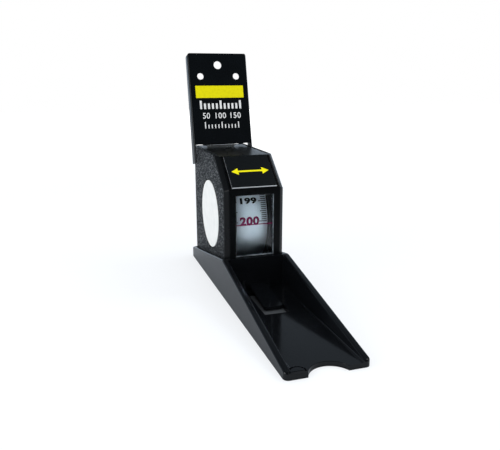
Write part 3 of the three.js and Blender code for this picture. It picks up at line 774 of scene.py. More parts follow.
def ahead_of_wall(e):
    """Whether an edge reaches more than a millimetre forward of the cross wall."""
    return min(v.co.y for v in e.verts) < cross_front - MM


def at_floor(e):
    """Edges of the notch and of the floor window, on the upper side of the floor."""
    return ahead_of_wall(e) and all(
        abs(v.co.z - FLOOR) < TOUCH and abs(v.co.x) < CUTS_WITHIN for v in e.verts
    )


cuts = round_edges(tray, CUT_RADIUS, 2, at_floor)
print(f"rounded {rims} rim edges and {cuts} cut edges, {gaps(tray)} gaps")

# %% Latch tongue and ribs
LATCH_LEFT = -4.1 * MM
LATCH_RIGHT = 5.0 * MM
LATCH_LENGTH = 23.7 * MM
LATCH_THICKNESS = 1.6 * MM
LATCH_ROOT_RISE = 3.2 * MM
LATCH_TIP_RISE = 0.6 * MM
LATCH_CORNER = 1.4 * MM
RIB_THICKNESS = 1 * MM
RIB_RUN = 3.4 * MM
RIB_RISE = 4.5 * MM
RIB_EDGE = 0.2 * MM

latch_root = cross_front + CROSS_WALL / 2
latch_tip = cross_front - LATCH_LENGTH
latch_side = [
    (latch_root, LATCH_ROOT_RISE),
    (cross_front, LATCH_ROOT_RISE),
    (latch_tip, LATCH_TIP_RISE),
    (latch_tip, LATCH_TIP_RISE + LATCH_THICKNESS),
    (cross_front, LATCH_ROOT_RISE + LATCH_THICKNESS),
    (latch_root, LATCH_ROOT_RISE + LATCH_THICKNESS),
]
latch = extrude_outline(latch_side, LATCH_LEFT, LATCH_RIGHT, along_x)
round_edges(latch, LATCH_CORNER, 5, upright_at(latch_tip))
round_edges(latch, CUT_RADIUS, 2, ahead_of_wall)
additions.append(latch)
rib_side = [
    (latch_root, FLOOR / 2),
    (latch_root, FLOOR + RIB_RISE),
    (cross_front, FLOOR + RIB_RISE),
    (cross_front - RIB_RUN, FLOOR),
    (cross_front - RIB_RUN, FLOOR / 2),
]
for left in (WINDOW_LEFT - RIB_THICKNESS, WINDOW_RIGHT):
    rib = extrude_outline(rib_side, left, left + RIB_THICKNESS, along_x)
    round_edges(rib, RIB_EDGE, 2, above(FLOOR - TOUCH))
    additions.append(rib)
tray = join([tray, *additions])
settle(as_object(tray, "headboard_tray"), SATIN_ABS, "case", ["headboard"])

# %% [markdown]
# ## The case cover
# One polished moulding makes the front, the slope and the top, with the window, the ledge for the lens
# and the slot for the tape. The CAD mesh already holds all of that, in flat faces. A copy of it is made
# whole, so that each flat is one face again, and its outer edges are then rolled over. The lines of the
# slope are worked out here too, because the plate and its arrow lie on it.

# %% Lines of the slope
SLOPE_RUN = 16.4 * MM
SLOPE_DROP = 13.6 * MM

front = case_low.y
top = case_high.z
slope_foot = Vector((front, top - SLOPE_DROP))
slope_head = Vector((front + SLOPE_RUN, top))
slope_length = (slope_head - slope_foot).length
climb = (slope_head - slope_foot).normalized()
inward = Vector((climb.y, -climb.x))
slope_turn = Matrix.Rotation(-atan2(SLOPE_RUN, SLOPE_DROP), 4, "X")
slope_place = Matrix.Translation((0, front, slope_foot.y)) @ slope_turn
print(f"the slope is {slope_length / MM:.1f} mm long at {degrees(atan2(SLOPE_DROP, SLOPE_RUN)):.0f} degrees")

# %% Soften the cover's outer edges
COVER_RADIUS = 0.4 * MM


def outside_cover(point):
    """Whether a point lies on the front, the slope, the top or a side of the cover."""
    to_slope = (Vector((point.y, point.z)) - slope_foot).dot(inward)
    return (
        point.y < front + TOUCH
        or abs(to_slope) < TOUCH
        or point.z > top - TOUCH
        or abs(point.x) > case_high.x - TOUCH
    )


cover = merged_copy("front_cover")
softened = round_edges(cover, COVER_RADIUS, 3, lambda e: all(outside_cover(v.co) for v in e.verts))
print(f"softened {softened} edges, {gaps(cover)} gaps")
settle(as_object(cover, "case_cover"), POLISHED_ABS, "case", ["front_cover"])

# %% [markdown]
# ## The side shells
# The two textured halves carry the drum, its axle and the screw posts. Their inner walls never show, and
# the CAD mesh already has the right shape, so a copy of it is enough. The copy's loose triangles are
# merged, flat areas are dissolved back to whole faces, and its outer edges get a small radius.

# %% Round a copy of each shell
SHELL_RADIUS = 0.35 * MM
RIM_LONGER_THAN = 3 * MM
disc_low, disc_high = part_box("left_disc")
disc_middle = (disc_low + disc_high) / 2
seat_radius = (disc_high.z - disc_low.z) / 2 + 2 * FIT


def rim_of(side):
    """Picks the long outer edges of a side plate, away from the disc's seat and the screw holes."""
    def on_side(e):
        middle = (e.verts[0].co + e.verts[1].co) / 2
        from_disc = Vector((middle.y - disc_middle.y, middle.z - disc_middle.z)).length
        flat = all(abs(v.co.x - side * case_high.x) < TOUCH for v in e.verts)
        return flat and from_disc > seat_radius and e.calc_length() > RIM_LONGER_THAN
    return on_side


for side, name in ((-1, "left_shell"), (1, "right_shell")):
    shell = merged_copy(name)
    count = round_edges(shell, SHELL_RADIUS, 3, rim_of(side))
    print(f"{name}: {count} outer edges rounded, {gaps(shell)} gaps")
    settle(as_object(shell, f"grained_{name}"), GRAINED_ABS, "case", [name])

# %% [markdown]
# ## Side discs
# A plain white disc is pressed into a round seat on each side. It is a turned shape: a circle pushed out
# to its thickness, with its rim rolled over by a small bevel.

# %% Make the discs
DISC_EDGE = 0.16 * MM
for name in ("left_disc", "right_disc"):
    low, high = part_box(name)
    place = Matrix.Translation((low + high) / 2) @ Matrix.Rotation(pi / 2, 4, "Y")
    disc = rod((high.z - low.z) / 2 - FIT, high.x - low.x, place, sides=128)
    round_edges(disc, DISC_EDGE, 3, every)
    settle(as_object(disc, f"white_{name}"), WHITE_POLYSTYRENE, "case", [name])

# %% [markdown]
# ## Plate, lens and index line
# The plate sits proud of the slope by half a millimetre. It has two layers, a dark face on a pale core,
# and the face stops short of the lower edge, where the core shows as a bright line: a painted highlight
# along that edge. The lens is a moulded pane behind the window frame. Its frosted rim is a thin frame of
# its own inside the window, with pale patches that are a painted highlight along the window's edges, and
# the reading line is printed across the pane. Each starts as a block between two corners.

# %% Plate on the slope
LABEL_HALF = 11.2 * MM
LABEL_LOWER = 0.6 * MM
LABEL_UPPER = slope_length - 0.6 * MM
RECESS_DEPTH = 0.7 * MM
PLATE_PROUD = 0.5 * MM
PLATE_EDGE = 0.12 * MM
PLATE_GAP = 0.08 * MM
# HIGHLIGHT_LIP is how far the dark face stops short of the lower edge: the width of the painted highlight.
HIGHLIGHT_LIP = 0.38 * MM
FACE_LAYER = 0.15 * MM

plate_half = LABEL_HALF - PLATE_GAP
plate_upper = LABEL_UPPER - PLATE_GAP
# The pale core is left bare along the lower edge as a bright line, a painted highlight along the plate's
# edge.
core = box_between(
    (-plate_half, -PLATE_PROUD + FACE_LAYER, LABEL_LOWER + PLATE_GAP),
    (plate_half, RECESS_DEPTH - PLATE_GAP, plate_upper),
)
round_edges(core, PLATE_EDGE, 2, lambda e: all(v.co.y < 0 for v in e.verts))
bmesh.ops.transform(core, matrix=slope_place, verts=core.verts)
settle(as_object(core, "plate_core_highlight"), PLATE_CORE_HIGHLIGHT, "case")
face = box_between(
    (-plate_half, -PLATE_PROUD, LABEL_LOWER + HIGHLIGHT_LIP),
    (plate_half, -PLATE_PROUD + 2 * FACE_LAYER, plate_upper),
)
round_edges(face, FACE_LAYER / 2, 2, lambda e: all(v.co.y < -PLATE_PROUD / 2 for v in e.verts))
bmesh.ops.transform(face, matrix=slope_place, verts=face.verts)
settle(as_object(face, "plate_face"), PLATE_VINYL, "case", ["label_plate"])

# %% Lens and its frosted rim
LENS_EDGE = 0.15 * MM
LENS_BORDER = 1.2 * MM
WINDOW_HALF = 9.5 * MM
RIM_THICKNESS = 0.07 * MM

lens_low, lens_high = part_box("window_lens")
window_bottom = lens_low.z - FIT + LENS_BORDER
window_top = lens_high.z + FIT - LENS_BORDER
lens = box_between(lens_low, lens_high)
round_edges(lens, LENS_EDGE, 2, every)
settle(as_object(lens, "moulded_lens"), CLEAR_ACRYLIC, "case", ["window_lens"])
# The frosted rim's pale patches are a painted highlight along the window's edges.
rim_outer = box_between(
    (-WINDOW_HALF, front + FIT, window_bottom),
    (WINDOW_HALF, lens_low.y, window_top),
)
rim_inner = box_between(
    (-WINDOW_HALF + RIM_THICKNESS, front - OVER, window_bottom + RIM_THICKNESS),
    (WINDOW_HALF - RIM_THICKNESS, lens_low.y + OVER, window_top - RIM_THICKNESS),
)
lens_rim_highlight = combine(rim_outer, rim_inner, "DIFFERENCE")
round_edges(lens_rim_highlight, RIM_THICKNESS / 4, 2, every)
settle(as_object(lens_rim_highlight, "lens_rim_highlight"), FROSTED_RIM_HIGHLIGHT, "case")

# %% Index line
INDEX_HEIGHT = 33.54 * MM
INDEX_THICKNESS = 0.5 * MM
INK_FILM = 0.04 * MM
index_line = box_between(
    (-WINDOW_HALF, lens_low.y - INK_FILM, INDEX_HEIGHT - INDEX_THICKNESS / 2),
    (WINDOW_HALF, lens_low.y, INDEX_HEIGHT + INDEX_THICKNESS / 2),
)
settle(as_object(index_line, "index_line"), CRIMSON_INK, "case", weighted=False)

# %% [markdown]
# ## Figures
# Figures come from Blender's own text tool. A text curve is made a mesh, widened, because the printed
# figures are much wider than they are tall, and sliced into narrow bands, so that it can later bend
# round the coil without cutting into it.

# %% Printed figures as flat meshes
BAND = 0.7 * MM
TEXT_SIZE = 10 * MM
TEXT_SPACING = 1.08
TEXT_CURVE_STEPS = 4


def figures(text, height, width, weight):
    """The text as a flat mesh in X and Z, centred. weight thickens its strokes."""
    curve = bpy.data.curves.new("figures", "FONT")
    curve.body = text
    curve.size = TEXT_SIZE
    curve.offset = weight
    curve.space_character = TEXT_SPACING
    curve.resolution_u = TEXT_CURVE_STEPS
    writing = bpy.data.objects.new("figures", curve)
    scene.collection.objects.link(writing)
    bpy.context.view_layer.update()
    flat = bpy.data.meshes.new_from_object(writing)
    bpy.data.objects.remove(writing)
    bpy.data.curves.remove(curve)
    shape = bmesh.new()
    shape.from_mesh(flat)
    bpy.data.meshes.remove(flat)
    xs = [v.co.x for v in shape.verts]
    ys = [v.co.y for v in shape.verts]
    middle = Vector(((min(xs) + max(xs)) / 2, (min(ys) + max(ys)) / 2, 0))
    fit_scale = (width / (max(xs) - min(xs)), height / (max(ys) - min(ys)), 1)
    bmesh.ops.translate(shape, verts=shape.verts, vec=-middle)
    bmesh.ops.scale(shape, verts=shape.verts, vec=fit_scale)
    bmesh.ops.rotate(shape, verts=shape.verts, cent=(0, 0, 0), matrix=Matrix.Rotation(pi / 2, 3, "X"))
    steps = int(height / BAND)
    for i in range(1, steps + 1):
        level = -height / 2 + i * height / (steps + 1)
        bmesh.ops.bisect_plane(
            shape, geom=[*shape.verts, *shape.edges, *shape.faces],
            plane_co=(0, 0, level), plane_no=(0, 0, 1),
        )
    return shape


TAPE_WEIGHT = 0.5 * MM
LARGE_FIGURES = (4.4 * MM, 10 * MM, TAPE_WEIGHT)
SMALL_FIGURES = (3.2 * MM, 8.4 * MM, TAPE_WEIGHT)
trial = figures("200", *LARGE_FIGURES)
print(f"the figures 200 have {len(trial.faces)} faces")
trial.free()

# %% [markdown]
# ## The wound tape in the window
# The tape comes down behind the drum, passes under it and rises at the front, where it is read. The outer
# layer is one strip that goes once round the drum and a little further. It is drawn here as it is wound:
# its end is one straight edge, which is extruded step by step, and each step turns it about the drum's
# axis and draws it inwards, so that the strip ends under its own beginning.

# %% Places on the coil
COIL_RADIUS = 26 * MM
COIL_PITCH = 1 * MM
COIL_TURNS = 1.08
COIL_STEPS = 150
TAPE_THICKNESS = 0.5 * MM
TAPE_BEND_BELOW_TOP = 3 * MM
TAPE_Y = -2.2 * MM
FIRST_MARK_RISE = 0.75 * MM

coil_low, coil_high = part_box("tape_outer_layer")
axle_low, axle_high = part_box("axle_pin")
axis_point = (axle_low + axle_high) / 2
tape_half = (coil_high.x - coil_low.x) / 2
coil_middle = COIL_RADIUS - TAPE_THICKNESS / 2
to_bend = Vector((TAPE_Y - axis_point.y, top - TAPE_BEND_BELOW_TOP - axis_point.z))
leave_angle = atan2(to_bend.y, to_bend.x) - acos(coil_middle / to_bend.length)
front_turn = (leave_angle + pi) / (2 * pi)


def place_on_coil(turn, lift=0.0):
    """Y and Z on the strip's outer face, or lifted off it, after so many turns from its beginning."""
    radius = COIL_RADIUS - COIL_PITCH * turn + lift
    angle = leave_angle - 2 * pi * turn
    return axis_point.y + radius * cos(angle), axis_point.z + radius * sin(angle)


front_radius = COIL_RADIUS - COIL_PITCH * front_turn
one_turn = 2 * pi * front_radius
first_mark_turn = front_turn + FIRST_MARK_RISE / one_turn
print(f"the window shows turn {front_turn:.2f} of the strip, at radius {front_radius / MM:.2f} mm")

# %% Wind the strip
strip = bmesh.new()
turn_layer = strip.verts.layers.float.new("turn")
start = [strip.verts.new((x, axis_point.y, axis_point.z)) for x in (-tape_half, tape_half)]
edge = strip.edges.new(start)
for i in range(COIL_STEPS + 1):
    if i:
        grown = bmesh.ops.extrude_edge_only(strip, edges=[edge])["geom"]
        edge = next(g for g in grown if isinstance(g, bmesh.types.BMEdge))
    turn = COIL_TURNS * i / COIL_STEPS
    for v in edge.verts:
        v.co.yz = place_on_coil(turn)
        v[turn_layer] = turn
strip_uv = strip.loops.layers.uv.new("strip")
for face in strip.faces:
    for loop in face.loops:
        length = (loop.vert[turn_layer] - first_mark_turn) * one_turn
        loop[strip_uv].uv = (length, loop.vert.co.x)
bmesh.ops.recalc_face_normals(strip, faces=strip.faces)
strip.faces.ensure_lookup_table()
first = strip.faces[0]
outwards = first.calc_center_median() - axis_point
outwards.x = 0
if first.normal.dot(outwards) < 0:
    bmesh.ops.reverse_faces(strip, faces=strip.faces)
wound = as_object(strip, "wound_tape")
thick = wound.modifiers.new("thickness", "SOLIDIFY")
thick.thickness = TAPE_THICKNESS
thick.offset = -1
settle(wound, PRINTED_TAPE, "drum", ["tape_outer_layer"], weighted=False)

# %% Print the figures round the coil
LARGE_FROM = -6.2 * MM
SMALL_FROM = -5.3 * MM
FIGURE_RISE = 0.35 * MM
LAST_VALUE = 200
LOWEST_VALUE = 192
CENTIMETRE = 10 * MM
INK_LIFT = 0.03 * MM


def wrap(shape, turn_of_middle, left):
    """Bends flat figures round the coil, with their left side at one place across the tape."""
    shift = left - min(v.co.x for v in shape.verts)
    for v in shape.verts:
        turn = turn_of_middle + v.co.z / one_turn
        v.co = Vector((v.co.x + shift, *place_on_coil(turn, INK_LIFT)))


for value in range(LAST_VALUE, LOWEST_VALUE - 1, -1):
    ten = value % 10 == 0
    shape = figures(str(value), *(LARGE_FIGURES if ten else SMALL_FIGURES))
    length = (LAST_VALUE - value) * CENTIMETRE + FIGURE_RISE
    wrap(shape, first_mark_turn + length / one_turn, LARGE_FROM if ten else SMALL_FROM)
    settle(as_object(shape, f"figures_{value}"), CRIMSON_INK if ten else BLACK_INK, "drum", weighted=False)
print(f"figures {LAST_VALUE} down to {LOWEST_VALUE}")

# %% [markdown]
# ## The rest of the tape
# Inside the case the tape runs straight from the coil to the slot. Above the case it rises behind the
# bracket, where a clamp plate holds its end. When the bracket is drawn away, the stretch between the case
# and the clamp gets longer. It is drawn as a line that is extruded upwards in short bands and made solid.

# %% Free tape behind the bracket
LEAD_BANDS = 12
lead_low, lead_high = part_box("tape_lead")
lead_y = (lead_low.y + lead_high.y) / 2
lead_height = lead_high.z - lead_low.z
free_tape = bmesh.new()
foot = [free_tape.verts.new((x, lead_y, lead_low.z)) for x in (-tape_half, tape_half)]
edge = free_tape.edges.new(foot)
for band in range(1, LEAD_BANDS + 1):
    grown = bmesh.ops.extrude_edge_only(free_tape, edges=[edge])["geom"]
    edge = next(g for g in grown if isinstance(g, bmesh.types.BMEdge))
    for v in edge.verts:
        v.co.z = lead_low.z + lead_height * band / LEAD_BANDS
bmesh.ops.recalc_face_normals(free_tape, faces=free_tape.faces)
bmesh.ops.solidify(free_tape, geom=free_tape.faces[:], thickness=TAPE_THICKNESS)
bmesh.ops.recalc_face_normals(free_tape, faces=free_tape.faces)
middle_y = sum(v.co.y for v in free_tape.verts) / len(free_tape.verts)
bmesh.ops.translate(free_tape, verts=free_tape.verts, vec=(0, lead_y - middle_y, 0))
lead = as_object(free_tape, "free_tape")
lead.data.materials.append(COATED_TAPE)
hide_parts("tape_lead")
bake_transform(lead)
print(f"free tape: {lead_height / MM:.1f} mm at rest")

# %% [markdown]
# ## The wall bracket
# It is folded from one sheet of steel: a plate with a flange down each side. A sheet part is easiest to
# make as the real one is made. Its plan, a channel with two rounded bends, is drawn as a line of edges,
# extruded upwards, and then given the thickness of the sheet. The feet, the rounded corners and the screw
# holes are cut afterwards. All of it is made upright and leaned back at the very end.

# %% Fold the channel
BRACKET_HALF = 16.9 * MM
SHEET = 1 * MM
BEND_RADIUS = 1.3 * MM
BEND_STEPS = 6
PLATE_HEIGHT = 50.3 * MM
FLANGE_FOOT_DEPTH = 6.8 * MM
FLANGE_BELOW = 9.8 * MM

line = [(-BRACKET_HALF, FLANGE_FOOT_DEPTH)]
for side in (-1, 1):
    centre = side * (BRACKET_HALF - BEND_RADIUS)
    arc = [
        (centre + side * BEND_RADIUS * cos(t), BEND_RADIUS - BEND_RADIUS * sin(t))
        for t in (pi / 2 * i / BEND_STEPS for i in range(BEND_STEPS + 1))
    ]
    line += arc if side < 0 else arc[::-1]
line.append((BRACKET_HALF, FLANGE_FOOT_DEPTH))
channel = bmesh.new()
row = [channel.verts.new((x, y, -FLANGE_BELOW)) for x, y in line]
base_edges = [channel.edges.new(pair) for pair in zip(row, row[1:])]
raised = bmesh.ops.extrude_edge_only(channel, edges=base_edges)["geom"]
bmesh.ops.translate(
    channel, verts=[g for g in raised if isinstance(g, bmesh.types.BMVert)],
    vec=(0, 0, PLATE_HEIGHT + FLANGE_BELOW),
)
bmesh.ops.recalc_face_normals(channel, faces=channel.faces)
foremost = min(channel.faces, key=lambda f: f.calc_center_median().y)
if foremost.normal.y > 0:
    bmesh.ops.reverse_faces(channel, faces=channel.faces)
folded = as_object(channel, "folded")
wall = folded.modifiers.new("sheet", "SOLIDIFY")
wall.thickness = SHEET
wall.offset = -1
wall.use_even_offset = True
bracket = solved(folded)
print(f"folded channel: {len(bracket.faces)} faces")

# %% Outline of the feet
FOOT_NOTCH_HALF = 8.9 * MM
FOOT_NOTCH_HEIGHT = 0.3 * MM
FOOT_DROP = 0.2 * MM
FOOT_WIDTH = 2.3 * MM
RELIEF_HEIGHT = 0.45 * MM
RELIEF_STEPS = 12
relief_inner = FOOT_NOTCH_HALF + FOOT_WIDTH
relief_outer = BRACKET_HALF - SHEET
relief_middle = (relief_inner + relief_outer) / 2
relief_reach = (relief_outer - relief_inner) / 2


def relief(side):
    """The rounded cut beside a foot, from its inner to its outer end."""
    return [
        (side * (relief_middle - relief_reach * cos(t)), RELIEF_HEIGHT * sin(t) - FOOT_DROP)
        for t in (pi * i / RELIEF_STEPS for i in range(RELIEF_STEPS + 1))
    ]


foot_view = [
    (-relief_outer, -FLANGE_BELOW - OVER),
    *relief(-1)[::-1],
    (-FOOT_NOTCH_HALF, -FOOT_DROP),
    (-FOOT_NOTCH_HALF, FOOT_NOTCH_HEIGHT - FOOT_DROP),
    (FOOT_NOTCH_HALF, FOOT_NOTCH_HEIGHT - FOOT_DROP),
    (FOOT_NOTCH_HALF, -FOOT_DROP),
    *relief(1),
    (relief_outer, -FLANGE_BELOW - OVER),
]
print(f"feet {FOOT_WIDTH / MM} mm wide beside a notch of {2 * FOOT_NOTCH_HALF / MM:.1f} mm")

# %% Cut the feet, the taper and the corners
FLANGE_TOP_DEPTH = 4.6 * MM
PLATE_CORNER = 1.6 * MM
foot_cutter = extrude_outline(foot_view, -OVER, FLANGE_FOOT_DEPTH + OVER, along_y)
bracket = combine(bracket, foot_cutter, "DIFFERENCE")
taper = [
    (FLANGE_FOOT_DEPTH, -FLANGE_BELOW),
    (FLANGE_TOP_DEPTH, PLATE_HEIGHT),
    (FLANGE_TOP_DEPTH, PLATE_HEIGHT + OVER),
    (FLANGE_FOOT_DEPTH + OVER, PLATE_HEIGHT + OVER),
    (FLANGE_FOOT_DEPTH + OVER, -FLANGE_BELOW),
]
taper_cutter = extrude_outline(taper, -BRACKET_HALF - OVER, BRACKET_HALF + OVER, along_x)
bracket = combine(bracket, taper_cutter, "DIFFERENCE")
limit = box_between((-BRACKET_HALF, -OVER, -2 * FLANGE_BELOW), (BRACKET_HALF, 2 * OVER, PLATE_HEIGHT))
round_edges(limit, PLATE_CORNER, 6, lambda e: keeps_x(e) and above(0)(e))
bracket = combine(bracket, limit, "INTERSECT")
print(f"cut bracket: {len(bracket.faces)} faces, {gaps(bracket)} gaps")

# %% Drill and dish the screw holes
HOLE_DISH = 0.9 * MM
DISH_DEPTH = 0.4 * MM
SHEET_EDGE = 0.15 * MM
EASED_LONGER_THAN = 0.3 * MM
SCREW_HOLES = (
    # across, up from the feet, radius, in millimetres
    (0, 43.9, 2.2),
    (-10.2, 37.7, 1.8),
    (10.2, 37.7, 1.8),
)
BRACKET_LEAN = radians(13.8)
BRACKET_PLACE = Vector((0, -8.48, 66.2)) * MM
bracket_matrix = Matrix.Translation(BRACKET_PLACE) @ Matrix.Rotation(-BRACKET_LEAN, 4, "X")


def drill(x, z, radius):
    """A drill with a shallow countersink: half its side view, spun about its own axis."""
    shape = bmesh.new()
    mouth = radius + HOLE_DISH * (1 + FIT / DISH_DEPTH)
    half = [(0, -FIT), (mouth, -FIT), (radius, DISH_DEPTH), (radius, SHEET + FIT), (0, SHEET + FIT)]
    row = [shape.verts.new((r, y, 0)) for r, y in half]
    side = [shape.edges.new(pair) for pair in zip(row, row[1:])]
    bmesh.ops.spin(
        shape, geom=row + side, cent=(0, 0, 0), axis=(0, 1, 0), angle=2 * pi, steps=48, use_merge=True,
    )
    bmesh.ops.remove_doubles(shape, verts=shape.verts, dist=DOUBLE)
    bmesh.ops.recalc_face_normals(shape, faces=shape.faces)
    bmesh.ops.translate(shape, verts=shape.verts, vec=(x, 0, z))
    return shape


drills = join([drill(x * MM, z * MM, radius * MM) for x, z, radius in SCREW_HOLES])
bracket = combine(bracket, drills, "DIFFERENCE")
print(f"bracket with its holes: {len(bracket.faces)} faces, {gaps(bracket)} gaps")
eased = round_edges(
    bracket, SHEET_EDGE, 2,
    lambda e: e.calc_length() > EASED_LONGER_THAN,
    sharper_than=50,
)
bmesh.ops.transform(bracket, matrix=bracket_matrix, verts=bracket.verts)
settle(as_object(bracket, "folded_bracket"), BLACK_ENAMEL, "bracket", ["wall_bracket"])
print(f"eased {eased} sheet edges")

# %% [markdown]
# ## Print on the bracket and the plate
# A yellow stripe lies under the screw holes. Below it stands a small white scale: a row of bold bars, a
# row of plain figures and a row of fine bars. The slope carries a yellow double arrow, the usual sign for
# a measured length. Print is a film, so each is a set of very thin shapes on its surface.

# %% Stripe and scale
STRIPE = (-13.65, 13.65, 25.7, 32.4)
BOLD_ROW = (-11.8, 11.8, 19.6, 24.2)
FINE_ROW = (-9.8, 9.8, 8.9, 12.4)
BARS = 11
TALL_EVERY = 5
SCALE_FIGURES = (("50", -8.6), ("100", -0.4), ("150", 8.2))
SCALE_FIGURES_UP = 15.9
SCALE_FIGURE_HEIGHT = 3.2 * MM
SCALE_FIGURE_WIDTH = 2 * MM
SCALE_WEIGHT = 0.1 * MM


def film(x0, x1, z0, z1):
    """A thin block of ink in front of the plate, in the plate's own upright place, in millimetres."""
    return box_between((x0 * MM, -INK_FILM, z0 * MM), (x1 * MM, INK_FILM, z1 * MM))


def bars(row, share, short):
    """A row of upright bars. share is the inked part of the pitch, short the height between the tall bars."""
    x0, x1, z0, z1 = row
    pitch = (x1 - x0) / (BARS - 1 + share)
    made = []
    for i in range(BARS):
        left = x0 + i * pitch
        height = (z1 - z0) * (1 if i % TALL_EVERY == 0 else short)
        made.append(film(left, left + pitch * share, z0, z0 + height))
    return made


white_marks = bars(BOLD_ROW, share=0.5, short=0.66) + bars(FINE_ROW, share=0.3, short=0.6)
for text, x in SCALE_FIGURES:
    number = figures(text, SCALE_FIGURE_HEIGHT, SCALE_FIGURE_WIDTH * len(text), SCALE_WEIGHT)
    bmesh.ops.translate(number, verts=number.verts, vec=(x * MM, -INK_FILM, SCALE_FIGURES_UP * MM))
    white_marks.append(number)
for shape, name, material in (
    (film(*STRIPE), "yellow_stripe", YELLOW_INK),
    (join(white_marks), "white_scale", WHITE_INK),
):
    bmesh.ops.transform(shape, matrix=bracket_matrix, verts=shape.verts)
    settle(as_object(shape, name), material, "bracket", weighted=False)

# %% Double arrow on the slope plate
ARROW_HALF = 9.4 * MM
ARROW_HEAD = 3.4 * MM
ARROW_HEAD_HALF = 2.1 * MM
SHAFT_HALF = 0.5 * MM
shaft_end = ARROW_HALF - ARROW_HEAD
arrow_view = [
    (-ARROW_HALF, 0), (-shaft_end, -ARROW_HEAD_HALF), (-shaft_end, -SHAFT_HALF),
    (shaft_end, -SHAFT_HALF), (shaft_end, -ARROW_HEAD_HALF), (ARROW_HALF, 0),
    (shaft_end, ARROW_HEAD_HALF), (shaft_end, SHAFT_HALF),
    (-shaft_end, SHAFT_HALF), (-shaft_end, ARROW_HEAD_HALF),
]
arrow = extrude_outline(arrow_view, -PLATE_PROUD - INK_FILM, -PLATE_PROUD + INK_FILM, along_y)
bmesh.ops.translate(arrow, verts=arrow.verts, vec=(0, 0, slope_length / 2))
bmesh.ops.transform(arrow, matrix=slope_place, verts=arrow.verts)
settle(as_object(arrow, "yellow_arrow"), YELLOW_INK, "case", weighted=False)

# %% [markdown]
# ## Finishes for the pieces that keep their CAD shape
# The drum, the spring, the axle, the screws, the clamp and the tape inside the case are plain shapes that
# already look right. They only get their material. A CAD node is never moved or reshaped here.

# %% Hand out the finishes
CAD_FINISHES = (
    (DARK_ACETAL, ("drum_spool", "drum_cap")),
    (BLUED_STEEL, ("power_spring",)),
    (COATED_TAPE, ("tape_core", "tape_run", "tape_tail")),
    (ZINC_STEEL, (
        "axle_pin", "axle_washer_left", "axle_washer_right", "case_screw_1", "case_screw_2",
        "case_screw_3", "tape_clamp", "clamp_stud_left", "clamp_stud_right",
    )),
)
for material, names in CAD_FINISHES:
    for name in names:
        mesh = nodes[name].data
        mesh.materials.clear()
        mesh.materials.append(material)
    print(f"{material.name}: {', '.join(names)}")

# %% [markdown]
# ## The table
# The photograph shows a white table that runs into a white wall. The floor here is one pale sheet. Seen
# by the camera, part of its white is its own light. That part grows with the distance, so the far table
# is plain white and the soft shadow beside the tray stays. Black plastic shows little but what it
# reflects, and in the photograph it reflects a dark room in front, so for every other ray the table ahead
# of the tray is painted dim, as a painted reflection of that dark room. The strip under the tray, seen
# through its floor window, is painted dark as well, as a painted shadow.
# One more light is for the tape. In the photograph it is pale at the reading line and falls into shade
# below. The table close to the tray shines strongly, but only for light on its way from the tape out
# through the lens: such a ray has passed glass after a matt surface, so both of these are asked for.

# %% Floor
TABLE_WHITE = "BFC6CE"
# The dark tone is painted shadow under the tray and a painted dark room in what the table ahead reflects.
TABLE_PAINTED_DARK = "4A4E52"
FLOOR_SIZE = 3.0
UNDER_HALF = 12 * MM
UNDER_FRONT = tray_low.y + 12 * MM
UNDER_MIDDLE = (UNDER_FRONT + cross_front) / 2
UNDER_REACH = (cross_front - UNDER_FRONT) / 2
AHEAD_FROM = -0.14
AHEAD_TO = -0.22
GLOW_FROM = 0.25
GLOW_TO = 0.9
GLOW_NEAR = 0.4
CAMERA_LIGHT = 1.6
LENS_LIGHT = 16.0
LENS_LIGHT_FROM = 0.13
LENS_LIGHT_TO = 0.2


